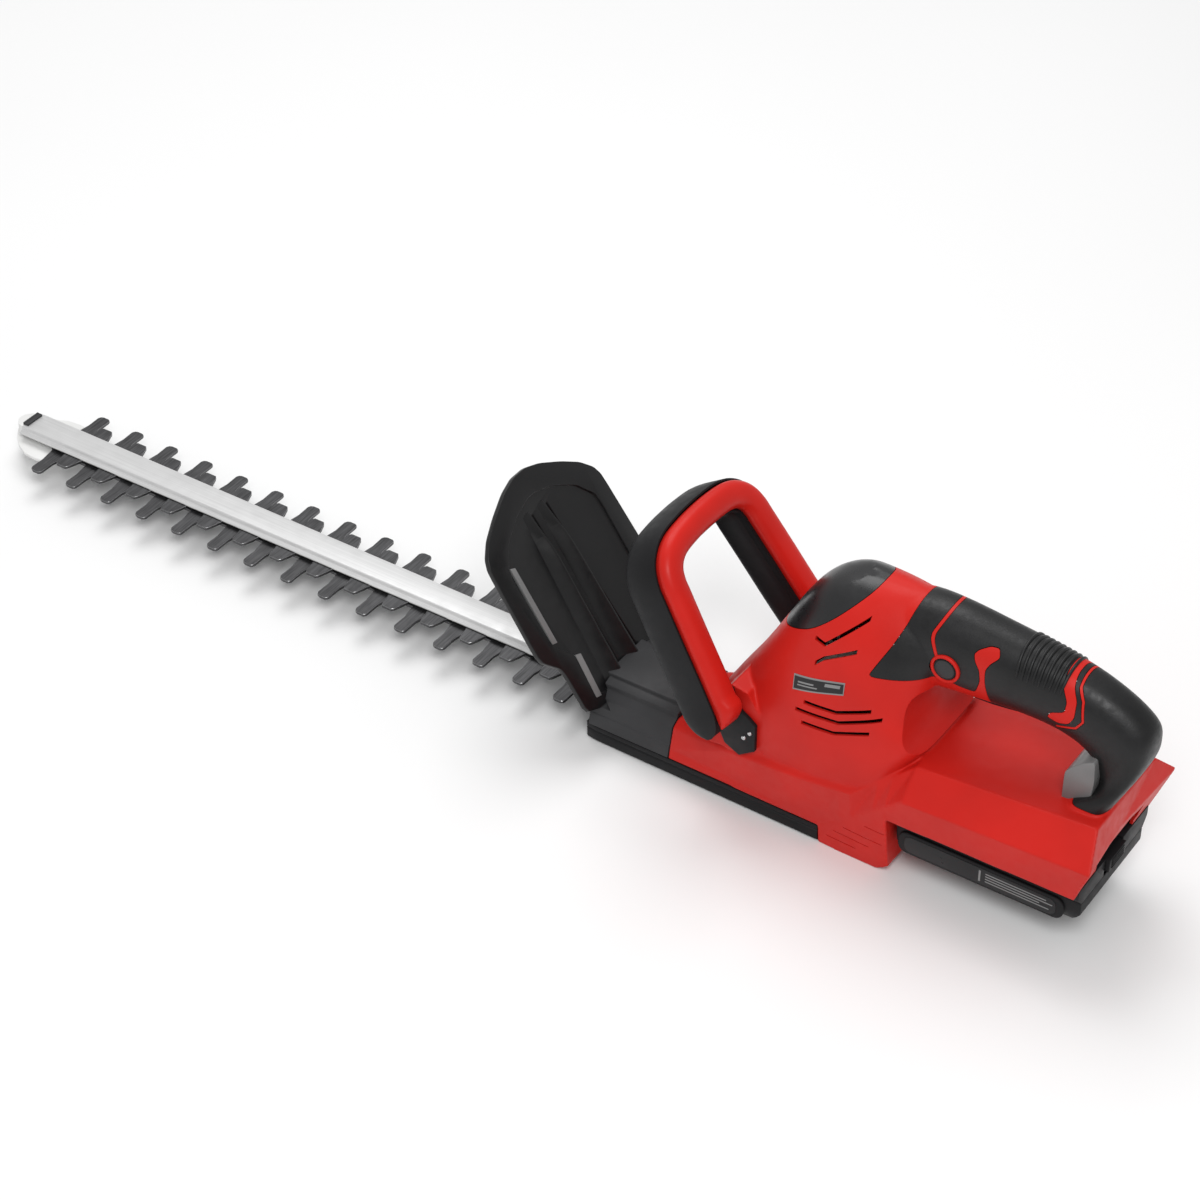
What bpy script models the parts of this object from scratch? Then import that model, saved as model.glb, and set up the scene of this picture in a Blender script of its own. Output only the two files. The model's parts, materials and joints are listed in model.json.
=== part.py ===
"""Cordless hedge trimmer: every piece is its own solid, in metres, +X towards the blade tip, +Z up.

All dimensions below are in millimetres and are turned into metres when a mesh is made.
Shape coordinates are measured from the foremost tooth (x), the middle plane (y) and the top of the
lower blade (z); the "trimmer" empty then puts the sole's middle on the world origin.
"""
import math

import bmesh
import bpy
from mathutils import Matrix, Vector

MM = 0.001
GAP = 0.3

# ---- driving dimensions (mm) ----
TOOTH_PITCH = 30.0
TOOTH_PAIRS = 15
BLADE_THICKNESS = 1.9
LOWER_BLADE_TOP = 0.0
UPPER_BLADE_BOTTOM = GAP
BLADE_HALF_WIDTH = 12.0
STROKE_HALF = 7.5
LONG_TOOTH_REACH = 35.8
SHORT_TOOTH_REACH = 23.8

BAR_BOTTOM = 2.5
BAR_TOP = 7.0
BAR_FRONT = 34.0
BAR_REAR = -533.5

SOLE_BOTTOM = -20.0
SOLE_TOP = -8.0
SOLE_FRONT = -441.0
SOLE_REAR = -604.0
BODY_FRONT = -500.0
HOOD_REAR = -781.0
WALL = 3.0

GUARD_FOOT_X = -460.6
GUARD_LEAN = math.radians(35.35)
GUARD_THICKNESS = 3.5
HANDLE_FOOT_X = -591.8
HANDLE_LEAN = math.radians(33.44)
HANDLE_WIDTH = 20.0
HANDLE_DEPTH = 27.0

GEAR_X = -564.0
GEAR_TEETH = 32
PINION_TEETH = 8
GEAR_MODULE = 1.4
MOTOR_X = GEAR_X - GEAR_MODULE * (GEAR_TEETH + PINION_TEETH) / 2
CAM_RADIUS = 9.0
SHAFT_RADIUS = 4.0
MOTOR_RADIUS = 20.8

BATTERY_FRONT = -655.5
BATTERY_REAR = -772.0

# The overall box: nose cover to grip along X, sole to grip top along Z.
NOSE_FRONT = 45.0
GRIP_REAR = -787.8
SHIFT = Vector((-(NOSE_FRONT + GRIP_REAR) / 2, 0.0, -SOLE_BOTTOM))


# ---- scene, collections and materials ----
def clear_scene():
    """Remove every object that is in the open file."""
    for item in list(bpy.data.objects):
        bpy.data.objects.remove(item, do_unlink=True)


def new_collection(name):
    """A collection linked to the scene."""
    group = bpy.data.collections.new(name)
    bpy.context.scene.collection.children.link(group)
    return group


clear_scene()
PARTS = new_collection("hedge_trimmer")
CUTTERS = new_collection("cutters")
ORIGIN = bpy.data.objects.new("trimmer", None)
ORIGIN.location = SHIFT * MM
PARTS.objects.link(ORIGIN)


def material(name, colour, roughness, metallic=0.0):
    """A Principled material."""
    mat = bpy.data.materials.new(name)
    mat.use_nodes = True
    shader = mat.node_tree.nodes["Principled BSDF"]
    shader.inputs["Base Color"].default_value = (*colour, 1.0)
    shader.inputs["Roughness"].default_value = roughness
    shader.inputs["Metallic"].default_value = metallic
    mat.diffuse_color = (*colour, 1.0)
    return mat


RED = material("red_plastic", (0.62, 0.03, 0.02), 0.42)
BLACK = material("black_plastic", (0.02, 0.02, 0.022), 0.5)
GLOSS = material("gloss_black_plastic", (0.03, 0.03, 0.033), 0.25)
GREY = material("dark_grey_plastic", (0.06, 0.06, 0.062), 0.5)
RUBBER = material("soft_black_overmould", (0.018, 0.018, 0.02), 0.45)
PALE = material("pale_plastic", (0.8, 0.8, 0.8), 0.35)
LIGHT = material("light_grey_plastic", (0.5, 0.5, 0.5), 0.4)
STEEL = material("blade_steel", (0.12, 0.12, 0.125), 0.35, 0.8)
BAR = material("satin_aluminium", (0.72, 0.72, 0.72), 0.35, 0.3)
CAST = material("cast_aluminium", (0.45, 0.46, 0.47), 0.5, 0.8)
BRIGHT = material("bright_steel", (0.55, 0.55, 0.56), 0.25, 1.0)
COPPER = material("copper_winding", (0.5, 0.2, 0.08), 0.4, 0.9)
BOARD = material("green_board", (0.02, 0.2, 0.08), 0.5)
CELL = material("cell_sleeve", (0.1, 0.35, 0.45), 0.4)
WIRE = material("wire_insulation", (0.35, 0.02, 0.02), 0.5)
NYLON = material("white_nylon", (0.75, 0.73, 0.68), 0.5)


# ---- mesh tools ----
def finish(bm, name, mat, pivot=(0.0, 0.0, 0.0), cutter=False, smooth=None):
    """Turn a mesh in millimetres into an object whose origin is at pivot (mm)."""
    bmesh.ops.recalc_face_normals(bm, faces=bm.faces)
    bmesh.ops.translate(bm, verts=bm.verts, vec=-Vector(pivot))
    bmesh.ops.scale(bm, verts=bm.verts, vec=(MM, MM, MM))
    mesh = bpy.data.meshes.new(name)
    bm.to_mesh(mesh)
    bm.free()
    obj = bpy.data.objects.new(name, mesh)
    obj.parent = ORIGIN
    obj.location = Vector(pivot) * MM
    if cutter:
        CUTTERS.objects.link(obj)
        obj.hide_render = True
        obj.display_type = "WIRE"
    else:
        PARTS.objects.link(obj)
        mesh.materials.append(mat)
    if smooth:
        mesh.shade_smooth()
        mesh.set_sharp_from_angle(angle=math.radians(smooth))
    return obj


def box_mesh(low, high):
    """An axis-aligned box."""
    bm = bmesh.new()
    size = [h - l for l, h in zip(low, high)]
    middle = [(h + l) / 2 for l, h in zip(low, high)]
    bmesh.ops.create_cube(bm, size=1.0, matrix=Matrix.Translation(middle) @ Matrix.Diagonal((*size, 1.0)))
    return bm


def box(name, low, high, mat=None, **options):
    """An axis-aligned box object."""
    return finish(box_mesh(low, high), name, mat, **options)


def rod_mesh(start, end, radius, sides=20, end_radius=None):
    """A cylinder or cone between two points."""
    bm = bmesh.new()
    axis = Vector(end) - Vector(start)
    turn = axis.to_track_quat("Z", "Y").to_matrix().to_4x4()
    place = Matrix.Translation((Vector(start) + Vector(end)) / 2) @ turn
    top = radius if end_radius is None else end_radius
    bmesh.ops.create_cone(bm, cap_ends=True, segments=sides, radius1=radius, radius2=top,
                          depth=axis.length, matrix=place)
    return bm


def rod(name, start, end, radius, mat=None, sides=20, end_radius=None, **options):
    """A cylinder or cone object."""
    return finish(rod_mesh(start, end, radius, sides, end_radius), name, mat, smooth=40, **options)


def turned_bolt(top, direction, head_radius, head_height, shank_radius, shank_length):
    """A bolt as one closed mesh: its head starts at top and its shank follows along direction."""
    axis = Vector(direction).normalized()
    turn = Vector((0, 0, 1)).rotation_difference(axis)
    sides = 10
    levels = [(head_radius, 0.0), (head_radius, head_height), (shank_radius, head_height),
              (shank_radius, head_height + shank_length)]
    rings = []
    for radius, along in levels:
        ring = []
        for i in range(sides):
            angle = 2 * math.pi * i / sides
            around = Vector((radius * math.cos(angle), radius * math.sin(angle), along))
            ring.append(Vector(top) + turn @ around)
        rings.append(ring)
    return loft_mesh(rings)


def bolt(name, top, direction, head_radius, head_height, shank_radius, shank_length, **options):
    """A bolt object."""
    mesh = turned_bolt(top, direction, head_radius, head_height, shank_radius, shank_length)
    return finish(mesh, name, BRIGHT, smooth=40, **options)


def joined(meshes):
    """One mesh holding several separate solids."""
    whole = bmesh.new()
    for bm in meshes:
        spare = bpy.data.meshes.new("spare")
        bm.to_mesh(spare)
        bm.free()
        whole.from_mesh(spare)
        bpy.data.meshes.remove(spare)
    return whole


def loft_mesh(rings, fan=True):
    """A closed skin through rings of equal length; its ends are fans, or plain faces where they are hollow."""
    bm = bmesh.new()
    rows = [[bm.verts.new(point) for point in ring] for ring in rings]
    count = len(rows[0])
    for first, second in zip(rows, rows[1:]):
        for i in range(count):
            j = (i + 1) % count
            bm.faces.new((first[i], first[j], second[j], second[i]))
    caps = [bm.faces.new(rows[0]), bm.faces.new(rows[-1])]
    if fan:
        bmesh.ops.poke(bm, faces=caps)
    return bm


def loft(name, rings, mat=None, fan=True, **options):
    """A lofted object."""
    return finish(loft_mesh(rings, fan), name, mat, **options)


def outline_mesh(loops, low, high, frame=Matrix()):
    """A flat outline, with holes where loops nest, thickened from low to high along its normal."""
    curve = bpy.data.curves.new("outline", "CURVE")
    curve.dimensions = "2D"
    curve.fill_mode = "BOTH"
    curve.extrude = (high - low) / 2
    for loop in loops:
        spline = curve.splines.new("POLY")
        spline.points.add(len(loop) - 1)
        spline.use_cyclic_u = True
        for point, (u, v) in zip(spline.points, loop):
            point.co = (u, v, 0.0, 1.0)
    holder = bpy.data.objects.new("outline", curve)
    PARTS.objects.link(holder)
    graph = bpy.context.evaluated_depsgraph_get()
    mesh = bpy.data.meshes.new_from_object(holder.evaluated_get(graph))
    bpy.data.objects.remove(holder)
    bm = bmesh.new()
    bm.from_mesh(mesh)
    bpy.data.meshes.remove(mesh)
    bmesh.ops.remove_doubles(bm, verts=bm.verts, dist=0.001)
    bmesh.ops.translate(bm, verts=bm.verts, vec=(0.0, 0.0, (low + high) / 2))
    bmesh.ops.transform(bm, matrix=frame, verts=bm.verts)
    return bm


def outline(name, loops, low, high, mat=None, frame=Matrix(), **options):
    """An extruded flat outline as an object."""
    return finish(outline_mesh(loops, low, high, frame), name, mat, **options)


def turned(name, profile, centre, mat, steps=24):
    """A turned piece: profile of (radius, height) from top to bottom, spun about an upright axis."""
    mesh = bpy.data.meshes.new(name)
    points = [(r * MM, 0.0, h * MM) for r, h in profile]
    closed = profile[0] == profile[-1]
    if closed:
        points = points[:-1]
    edges = [(i, i + 1) for i in range(len(points) - 1)]
    if closed:
        edges.append((len(points) - 1, 0))
    mesh.from_pydata(points, edges, [])
    mesh.materials.append(mat)
    obj = bpy.data.objects.new(name, mesh)
    PARTS.objects.link(obj)
    obj.parent = ORIGIN
    obj.location = Vector(centre) * MM
    screw = obj.modifiers.new("turn", "SCREW")
    screw.steps = steps
    screw.render_steps = steps
    screw.use_merge_vertices = True
    screw.merge_threshold = 0.00001
    screw.use_smooth_shade = False
    return obj


def tube(name, points, radius, mat, resolution=2):
    """A wire or coil along points (mm)."""
    curve = bpy.data.curves.new(name, "CURVE")
    curve.dimensions = "3D"
    curve.bevel_depth = radius * MM
    curve.bevel_resolution = resolution
    curve.use_fill_caps = True
    spline = curve.splines.new("POLY")
    spline.points.add(len(points) - 1)
    for point, place in zip(spline.points, points):
        point.co = (*(Vector(place) * MM), 1.0)
    curve.materials.append(mat)
    obj = bpy.data.objects.new(name, curve)
    obj.parent = ORIGIN
    PARTS.objects.link(obj)
    return obj


def coil_points(start, end, radius, turns, per_turn=6):
    """Points of a helix between two points."""
    start, end = Vector(start), Vector(end)
    axis = end - start
    side = axis.orthogonal().normalized()
    other = axis.normalized().cross(side)
    total = turns * per_turn
    points = []
    for i in range(total + 1):
        angle = 2 * math.pi * i / per_turn
        swing = side * math.cos(angle) + other * math.sin(angle)
        points.append(start + axis * i / total + swing * radius)
    return points


def cut(target, tool, operation="DIFFERENCE"):
    """Add an exact Boolean to target."""
    change = target.modifiers.new(tool.name, "BOOLEAN")
    change.operation = operation
    change.solver = "EXACT"
    change.object = tool
    return target


def settle(obj):
    """Keep an object's evaluated shape as its own mesh, without modifiers."""
    graph = bpy.context.evaluated_depsgraph_get()
    mesh = bpy.data.meshes.new_from_object(obj.evaluated_get(graph))
    obj.modifiers.clear()
    obj.data = mesh
    return obj


def cut_each(target, meshes):
    """Cut several meshes out of target one after another."""
    for number, bm in enumerate(meshes):
        cut(target, finish(bm, f"{target.name}_cut_{number}", None, cutter=True))
        settle(target)
    return target


def mirrored(obj, name):
    """A copy of an object on the other side of the middle plane."""
    mesh = obj.data.copy()
    mesh.transform(Matrix.Diagonal((1.0, -1.0, 1.0, 1.0)))
    mesh.flip_normals()
    twin = bpy.data.objects.new(name, mesh)
    twin.parent = ORIGIN
    place = obj.location.copy()
    place.y = -place.y
    twin.location = place
    PARTS.objects.link(twin)
    return twin


def both_sides(half):
    """A closed ring of (y, z) points from its +Y half, bottom to top."""
    return half + [(-y, z) for y, z in reversed(half)]


def arc(centre, radius, start, end, count):
    """Points on an arc, angles in degrees."""
    turns = [math.radians(start + (end - start) * i / (count - 1)) for i in range(count)]
    return [(centre[0] + radius * math.cos(a), centre[1] + radius * math.sin(a)) for a in turns]


# ---- outer shape of the housing ----
# The lower body and hood: x, then (y, z) of the bottom edge, lower crease, upper crease and top edge.
LOWER_BODY = [
    (-500.0, (36.0, -7.6), (36.0, 2.0), (36.0, 18.0), (30.0, 22.5)),
    (-545.0, (36.5, -7.6), (37.6, 0.0), (41.5, 23.0), (34.0, 31.0)),
    (-585.0, (37.0, -7.6), (38.0, -4.0), (45.5, 30.0), (37.0, 40.0)),
    (-604.1, (37.2, -7.6), (37.4, -5.0), (46.0, 32.5), (37.0, 44.0)),
    (-604.5, (37.2, -20.0), (37.4, -5.2), (46.0, 32.5), (37.0, 44.0)),
    (-621.0, (37.5, -20.0), (42.0, 9.0), (46.7, 35.5), (37.0, 50.0)),
    (-629.0, (37.7, -20.0), (43.7, 17.0), (47.0, 37.0), (36.0, 52.0)),
    (-644.0, (38.0, -20.0), (47.0, 32.0), (42.5, 50.0), (33.0, 58.0)),
    (-652.0, (38.6, -14.0), (48.6, 40.0), (39.5, 57.0), (30.0, 62.0)),
    (-652.4, (46.0, 28.0), (48.8, 40.4), (39.4, 57.3), (30.0, 62.3)),
    (-664.0, (46.2, 28.2), (51.0, 51.0), (36.0, 67.0), (29.0, 67.2)),
    (-700.0, (46.5, 28.8), (51.6, 53.5), (35.7, 70.0), (28.0, 69.6)),
]
HOOD_END = ((-771.0, 47.0, 30.0), (HOOD_REAR, 53.0, 58.0), (-775.0, 35.0, 76.0), (-775.0, 28.0, 75.4))

# The motor hump by height: z, front x, rear x, half width, roundness of its rear.
HUMP = [
    (10.0, -507.0, -648.0, 36.0, 5.0),
    (34.0, -517.0, -648.0, 43.5, 5.0),
    (57.0, -530.0, -648.0, 45.5, 5.0),
    (78.0, -543.0, -648.0, 44.2, 5.0),
    (92.0, -551.0, -649.5, 42.3, 4.5),
    (104.0, -557.5, -655.0, 40.0, 3.6),
    (118.0, -565.0, -664.0, 36.4, 3.0),
    (130.0, -572.5, -669.0, 32.6, 2.6),
    (142.0, -581.0, -670.0, 27.0, 2.3),
    (151.0, -590.0, -666.0, 20.0, 2.1),
    (157.6, -602.0, -656.0, 12.0, 2.0),
]
HUMP_MIDDLE = -608.0

# How square the grip's section is: 1 is an ellipse, less is squarer.
GRIP_POWER = 0.88

# The rear grip: upper (x, z), lower (x, z) and half width at stations from the hump round to the post.
GRIP = [
    ((-619.0, 153.5), (-634.0, 119.0), 20.0),
    ((-636.0, 159.0), (-645.0, 111.0), 21.8),
    ((-651.0, 160.4), (-658.0, 105.0), 21.4),
    ((-669.5, 159.2), (-674.0, 106.0), 20.4),
    ((-690.2, 156.8), (-692.0, 107.2), 19.8),
    ((-712.0, 154.2), (-711.0, 108.0), 19.2),
    ((-736.8, 150.5), (-729.4, 107.0), 18.2),
    ((-756.0, 145.4), (-743.0, 103.4), 17.6),
    ((-774.6, 137.0), (-752.0, 98.2), 17.3),
    ((-786.4, 126.6), (-757.6, 91.2), 17.4),
    ((-788.4, 113.4), (-760.4, 84.6), 17.9),
    ((-785.4, 100.0), (-759.2, 77.4), 19.5),
    ((-779.6, 86.8), (-753.1, 71.6), 22.6),
    ((-774.6, 75.6), (-746.0, 66.0), 26.5),
    ((-773.6, 69.6), (-743.0, 61.5), 27.5),
]


def lower_body_rings(inset=0.0):
    """Rings of the lower body and hood, drawn in by inset."""
    rings = []
    rows = [[(x, *point) for point in points] for x, *points in LOWER_BODY] + [list(HOOD_END)]
    middle_z = 30.0
    for row in rows:
        half = []
        for x, y, z in row:
            pull = inset if z > middle_z else -inset
            half.append((x, y - inset, z - pull))
        rings.append(half + [(x, -y, z) for x, y, z in reversed(half)])
    return rings


def signed_power(value, power):
    """A power that keeps the sign."""
    return math.copysign(abs(value) ** power, value)


def hump_rings(inset=0.0, points=16):
    """Level rings of the motor hump, drawn in by inset."""
    rings = []
    for z, front, rear, half_width, roundness in HUMP:
        ring = []
        for i in range(points):
            angle = 2 * math.pi * (i + 0.5) / points
            c, s = math.cos(angle), math.sin(angle)
            power = 2 / (2.3 if c > 0 else roundness)
            reach = (front - inset - HUMP_MIDDLE) if c > 0 else (HUMP_MIDDLE - rear - inset)
            x = HUMP_MIDDLE + reach * signed_power(c, power)
            y = (half_width - inset) * signed_power(s, power)
            ring.append((x, y, z))
        rings.append(ring)
    if inset:
        low, high = HUMP[0][0], HUMP[-1][0]
        for ring in rings:
            for i, (x, y, z) in enumerate(ring):
                ring[i] = (x, y, low + (z - low) * (high - inset - low) / (high - low))
    return rings


def grip_rings(inset=0.0, points=10):
    """Rings round the rear grip, drawn in by inset."""
    rings = []
    for (ux, uz), (lx, lz), half_width in GRIP:
        upper, lower = Vector((ux, 0.0, uz)), Vector((lx, 0.0, lz))
        middle = (upper + lower) / 2
        reach = (upper - lower) / 2
        reach = reach * (1 - inset / reach.length)
        ring = []
        for i in range(points):
            angle = 2 * math.pi * (i + 0.5) / points
            c = signed_power(math.cos(angle), GRIP_POWER)
            s = signed_power(math.sin(angle), GRIP_POWER)
            ring.append(middle + reach * c + Vector((0.0, (half_width - inset) * s, 0.0)))
        rings.append(ring)
    return rings


XZ_PLANE = Matrix(((1, 0, 0, 0), (0, 0, -1, 0), (0, 1, 0, 0), (0, 0, 0, 1)))
YZ_PLANE = Matrix(((0, 0, 1, 0), (1, 0, 0, 0), (0, 1, 0, 0), (0, 0, 0, 1)))


def side_prism(name, loop, y_low, y_high, mat=None, **options):
    """A side-view outline of (x, z) points that runs from y_low to y_high."""
    return outline(name, [loop], -y_high, -y_low, mat, XZ_PLANE, **options)


def cross_prism(name, loop, x_low, x_high, mat=None, **options):
    """A cross-section outline of (y, z) points that runs from x_low to x_high."""
    return outline(name, [loop], x_low, x_high, mat, YZ_PLANE, **options)


# ---- side-view outlines of the pieces that lie flush in the housing ----
CAP_EDGE = [(-561.0, 106.5), (-577.0, 118.0), (-590.0, 127.0), (-601.0, 138.0), (-612.0, 150.0),
            (-620.0, 159.5), (-626.0, 170.0), (-560.0, 180.0), (-535.0, 106.5)]
CHEEK_EDGE = [(-629.6, 116.6), (-634.0, 126.0), (-638.7, 135.6), (-642.5, 146.0), (-645.0, 158.0),
              (-647.0, 175.0), (-667.5, 175.0), (-662.0, 158.0), (-657.5, 147.0), (-663.0, 134.0),
              (-667.6, 121.0), (-659.0, 119.4), (-646.0, 118.2)]
GRIP_EDGE = [(-669.3, 175.0), (-663.9, 158.0), (-659.5, 147.0), (-664.9, 134.0), (-669.8, 121.2),
             (-677.0, 118.8), (-687.0, 119.0), (-690.0, 129.3), (-689.0, 136.6), (-685.7, 141.3),
             (-684.2, 146.5), (-687.3, 151.0), (-693.4, 154.8), (-697.3, 154.4), (-698.8, 149.7),
             (-694.2, 144.3), (-692.2, 139.1), (-692.6, 130.5), (-694.8, 118.0), (-696.0, 93.0),
             (-735.0, 74.5), (-800.0, 78.0), (-800.0, 175.0)]
REAR_INLAY = [(-735.4, 174.0), (-735.2, 152.4), (-736.2, 144.3), (-740.7, 136.5), (-740.2, 129.4),
              (-732.1, 125.9), (-730.4, 122.0), (-736.6, 120.2), (-743.0, 122.6), (-746.0, 128.3),
              (-745.8, 137.9), (-742.2, 144.2), (-740.4, 150.2), (-740.8, 174.0)]
BUTTON_X, BUTTON_Z = -669.0, 129.5
TRIGGER_PIVOT = (-724.5, 0.0, 118.0)
TERMINALS = (-12.0, 0.0, 12.0)
BOSS_HALF = 40.0
WEB_HALF = 16.0
HANDLE_BOLT = (-542.5, 52.0)
HOUSING_SCREWS = ((-580.0, 106.0, 28.0), (-634.0, -8.0, 37.8))


def grown(loop, margin):
    """An outline moved outwards by margin."""
    count = len(loop)
    area = sum(loop[i][0] * loop[(i + 1) % count][1] - loop[(i + 1) % count][0] * loop[i][1]
               for i in range(count))
    sign = 1.0 if area > 0 else -1.0
    moved = []
    for i in range(count):
        before, here, after = Vector(loop[i - 1]), Vector(loop[i]), Vector(loop[(i + 1) % count])
        first, second = (here - before).normalized(), (after - here).normalized()
        normal_1 = Vector((first.y, -first.x)) * sign
        normal_2 = Vector((second.y, -second.x)) * sign
        middle = (normal_1 + normal_2).normalized()
        moved.append(tuple(here + middle * margin / max(0.5, middle.dot(normal_1))))
    return moved


def shape_union(name, inset):
    """The motor hump joined to the rear grip, drawn in by inset, as a cutter."""
    whole = loft(name, hump_rings(inset), cutter=True)
    cut(whole, loft(name + "_grip", grip_rings(inset), cutter=True), "UNION")
    return settle(whole)


OUTER = shape_union("outer_shape", 0.0)
SKIN_BACK = shape_union("skin_back", 1.85)
CORE = shape_union("core_shape", 3.05)
HOLLOW = shape_union("hollow_shape", 5.15)


def flush_piece(name, loop, mat):
    """The skin of the outer shape inside a side-view outline."""
    piece = side_prism(name, loop, -80.0, 80.0, mat)
    cut(piece, OUTER, "INTERSECT")
    cut(piece, SKIN_BACK)
    return settle(piece)


def base_hollow_rings():
    """Rings of the hollow in the lower body, open at its front and above the sole, ahead of the battery."""
    inner = lower_body_rings(WALL)[:9]
    inner[0] = [(BODY_FRONT - WALL, y, z) for x, y, z in inner[0]]
    inner[8] = [(x + WALL, y, z) for x, y, z in inner[8]]
    bottom_corners = (0, 7)
    for ring in inner[:4]:
        for i in bottom_corners:
            ring[i] = (*ring[i][:2], SOLE_TOP - 4.0)
    return inner


def make_housing():
    """The two red clamshell halves, hollow, with vents, battery bay and seats for the flush pieces."""
    body = loft("housing_left", lower_body_rings(), RED)
    upper = side_prism("upper_shell", [(-480, 0), (-820, 0), (-820, 200), (-480, 200)], -90, 90, cutter=True)
    cut(upper, OUTER, "INTERSECT")
    for loops in ([grown(CAP_EDGE, GAP)], [grown(CHEEK_EDGE, GAP)], [grown(GRIP_EDGE, GAP), REAR_INLAY]):
        cut(upper, outline("seat", loops, -90, 90, None, XZ_PLANE, cutter=True))
    settle(upper)
    cut(body, upper, "UNION")
    cut(body, CORE, "UNION")
    boss = side_prism("handle_boss", [(-531, 24), (-575, 26), (-575, 44), (-556, 72), (-545, 74), (-533, 56)],
                      -BOSS_HALF, BOSS_HALF, cutter=True)
    cut(body, boss, "UNION")
    settle(body)
    cut(body, HOLLOW)
    settle(body)
    cut(body, loft("base_hollow", base_hollow_rings(), cutter=True))
    settle(body)
    bay = [(43.0, 10.0), (43.0, 33.4), (22.6, 33.4), (22.6, 37.2), (27.5, 37.4), (27.5, 46.0)]
    cut(body, cross_prism("battery_bay", both_sides(bay), -800.0, -652.8, cutter=True))
    settle(body)
    tools = [
        box_mesh((-768.0, -27.0, 49.5), (-655.0, 27.0, 64.0)),
        box_mesh((-658.0, -15.0, 50.5), (-636.0, 15.0, 62.0)),
        box_mesh((-656.0, -21.0, 34.4), (-640.0, 21.0, 45.6)),
        box_mesh((BODY_FRONT - 6.0, -15.0, -9.0), (BODY_FRONT + 3.0, 15.0, 8.6)),
        box_mesh((-730.0, -7.0, 96.0), (-672.0, 7.0, 120.0)),
        rod_mesh((BUTTON_X, -40.0, BUTTON_Z), (BUTTON_X, 40.0, BUTTON_Z), 7.2, 20),
        rod_mesh((BUTTON_X, -40.0, BUTTON_Z), (BUTTON_X, -18.4, BUTTON_Z), 9.9, 20),
        rod_mesh((BUTTON_X, 18.4, BUTTON_Z), (BUTTON_X, 40.0, BUTTON_Z), 9.9, 20),
    ]
    bolt_x, bolt_z = HANDLE_BOLT
    tools.append(rod_mesh((bolt_x, -60.0, bolt_z), (bolt_x, 60.0, bolt_z), 2.4, 12))
    cut_each(body, tools)
    for x, z, reach in HOUSING_SCREWS:
        cut(body, rod(f"screw_boss_{x}", (x, -reach, z), (x, reach, z), 4.6, sides=14, cutter=True), "UNION")
        settle(body)
        cut_each(body, [rod_mesh((x, 4.0 - reach, z), (x, reach - 4.0, z), 1.9, 10)])
    slots = [
        [(-594, 86), (-615, 88), (-636, 97)],
        [(-589, 79), (-617, 82), (-643, 94)],
        [(-594, 72), (-615, 74), (-637, 83)],
        [(-594, 126), (-601, 125), (-623, 146)],
        [(-597, 112), (-602, 117), (-621, 128)],
    ]
    vents = [outline_mesh([[(x, z - 1.3) for x, z in slot] + [(x, z + 1.3) for x, z in reversed(slot)]],
                          -70.0, 70.0, XZ_PLANE) for slot in slots]
    cut_each(body, vents)
    half_space = box("left_of_middle", (-850, GAP / 2, -60), (-450, 90, 220), cutter=True)
    cut(body, half_space, "INTERSECT")
    settle(body)
    right = mirrored(body, "housing_right")
    cut_each(right, [rod_mesh((x, -60.0, z), (x, 6.0 - reach, z), 3.6, 14) for x, z, reach in HOUSING_SCREWS])


make_housing()
flush_piece("motor_cap", CAP_EDGE, GLOSS)


def make_grip_skins():
    """The soft black skins of the grip, cut away round the red inlays, the button rings and the trigger."""
    button_hole = rod("button_hole", (BUTTON_X, -60, BUTTON_Z), (BUTTON_X, 60, BUTTON_Z), 9.9, cutter=True)
    slot = box("trigger_slot", (-731.0, -7.6, 90.0), (-671.0, 7.6, 118.0), cutter=True)
    cheek = flush_piece("grip_front_skin", CHEEK_EDGE, RUBBER)
    cut(cheek, button_hole)
    settle(cheek)
    skin = flush_piece("grip_rear_skin", GRIP_EDGE, RUBBER)
    cut(skin, button_hole)
    cut(skin, slot)
    cut(skin, side_prism("inlay_seat", grown(REAR_INLAY, GAP), -60.0, 60.0, cutter=True))
    settle(skin)


make_grip_skins()


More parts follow.
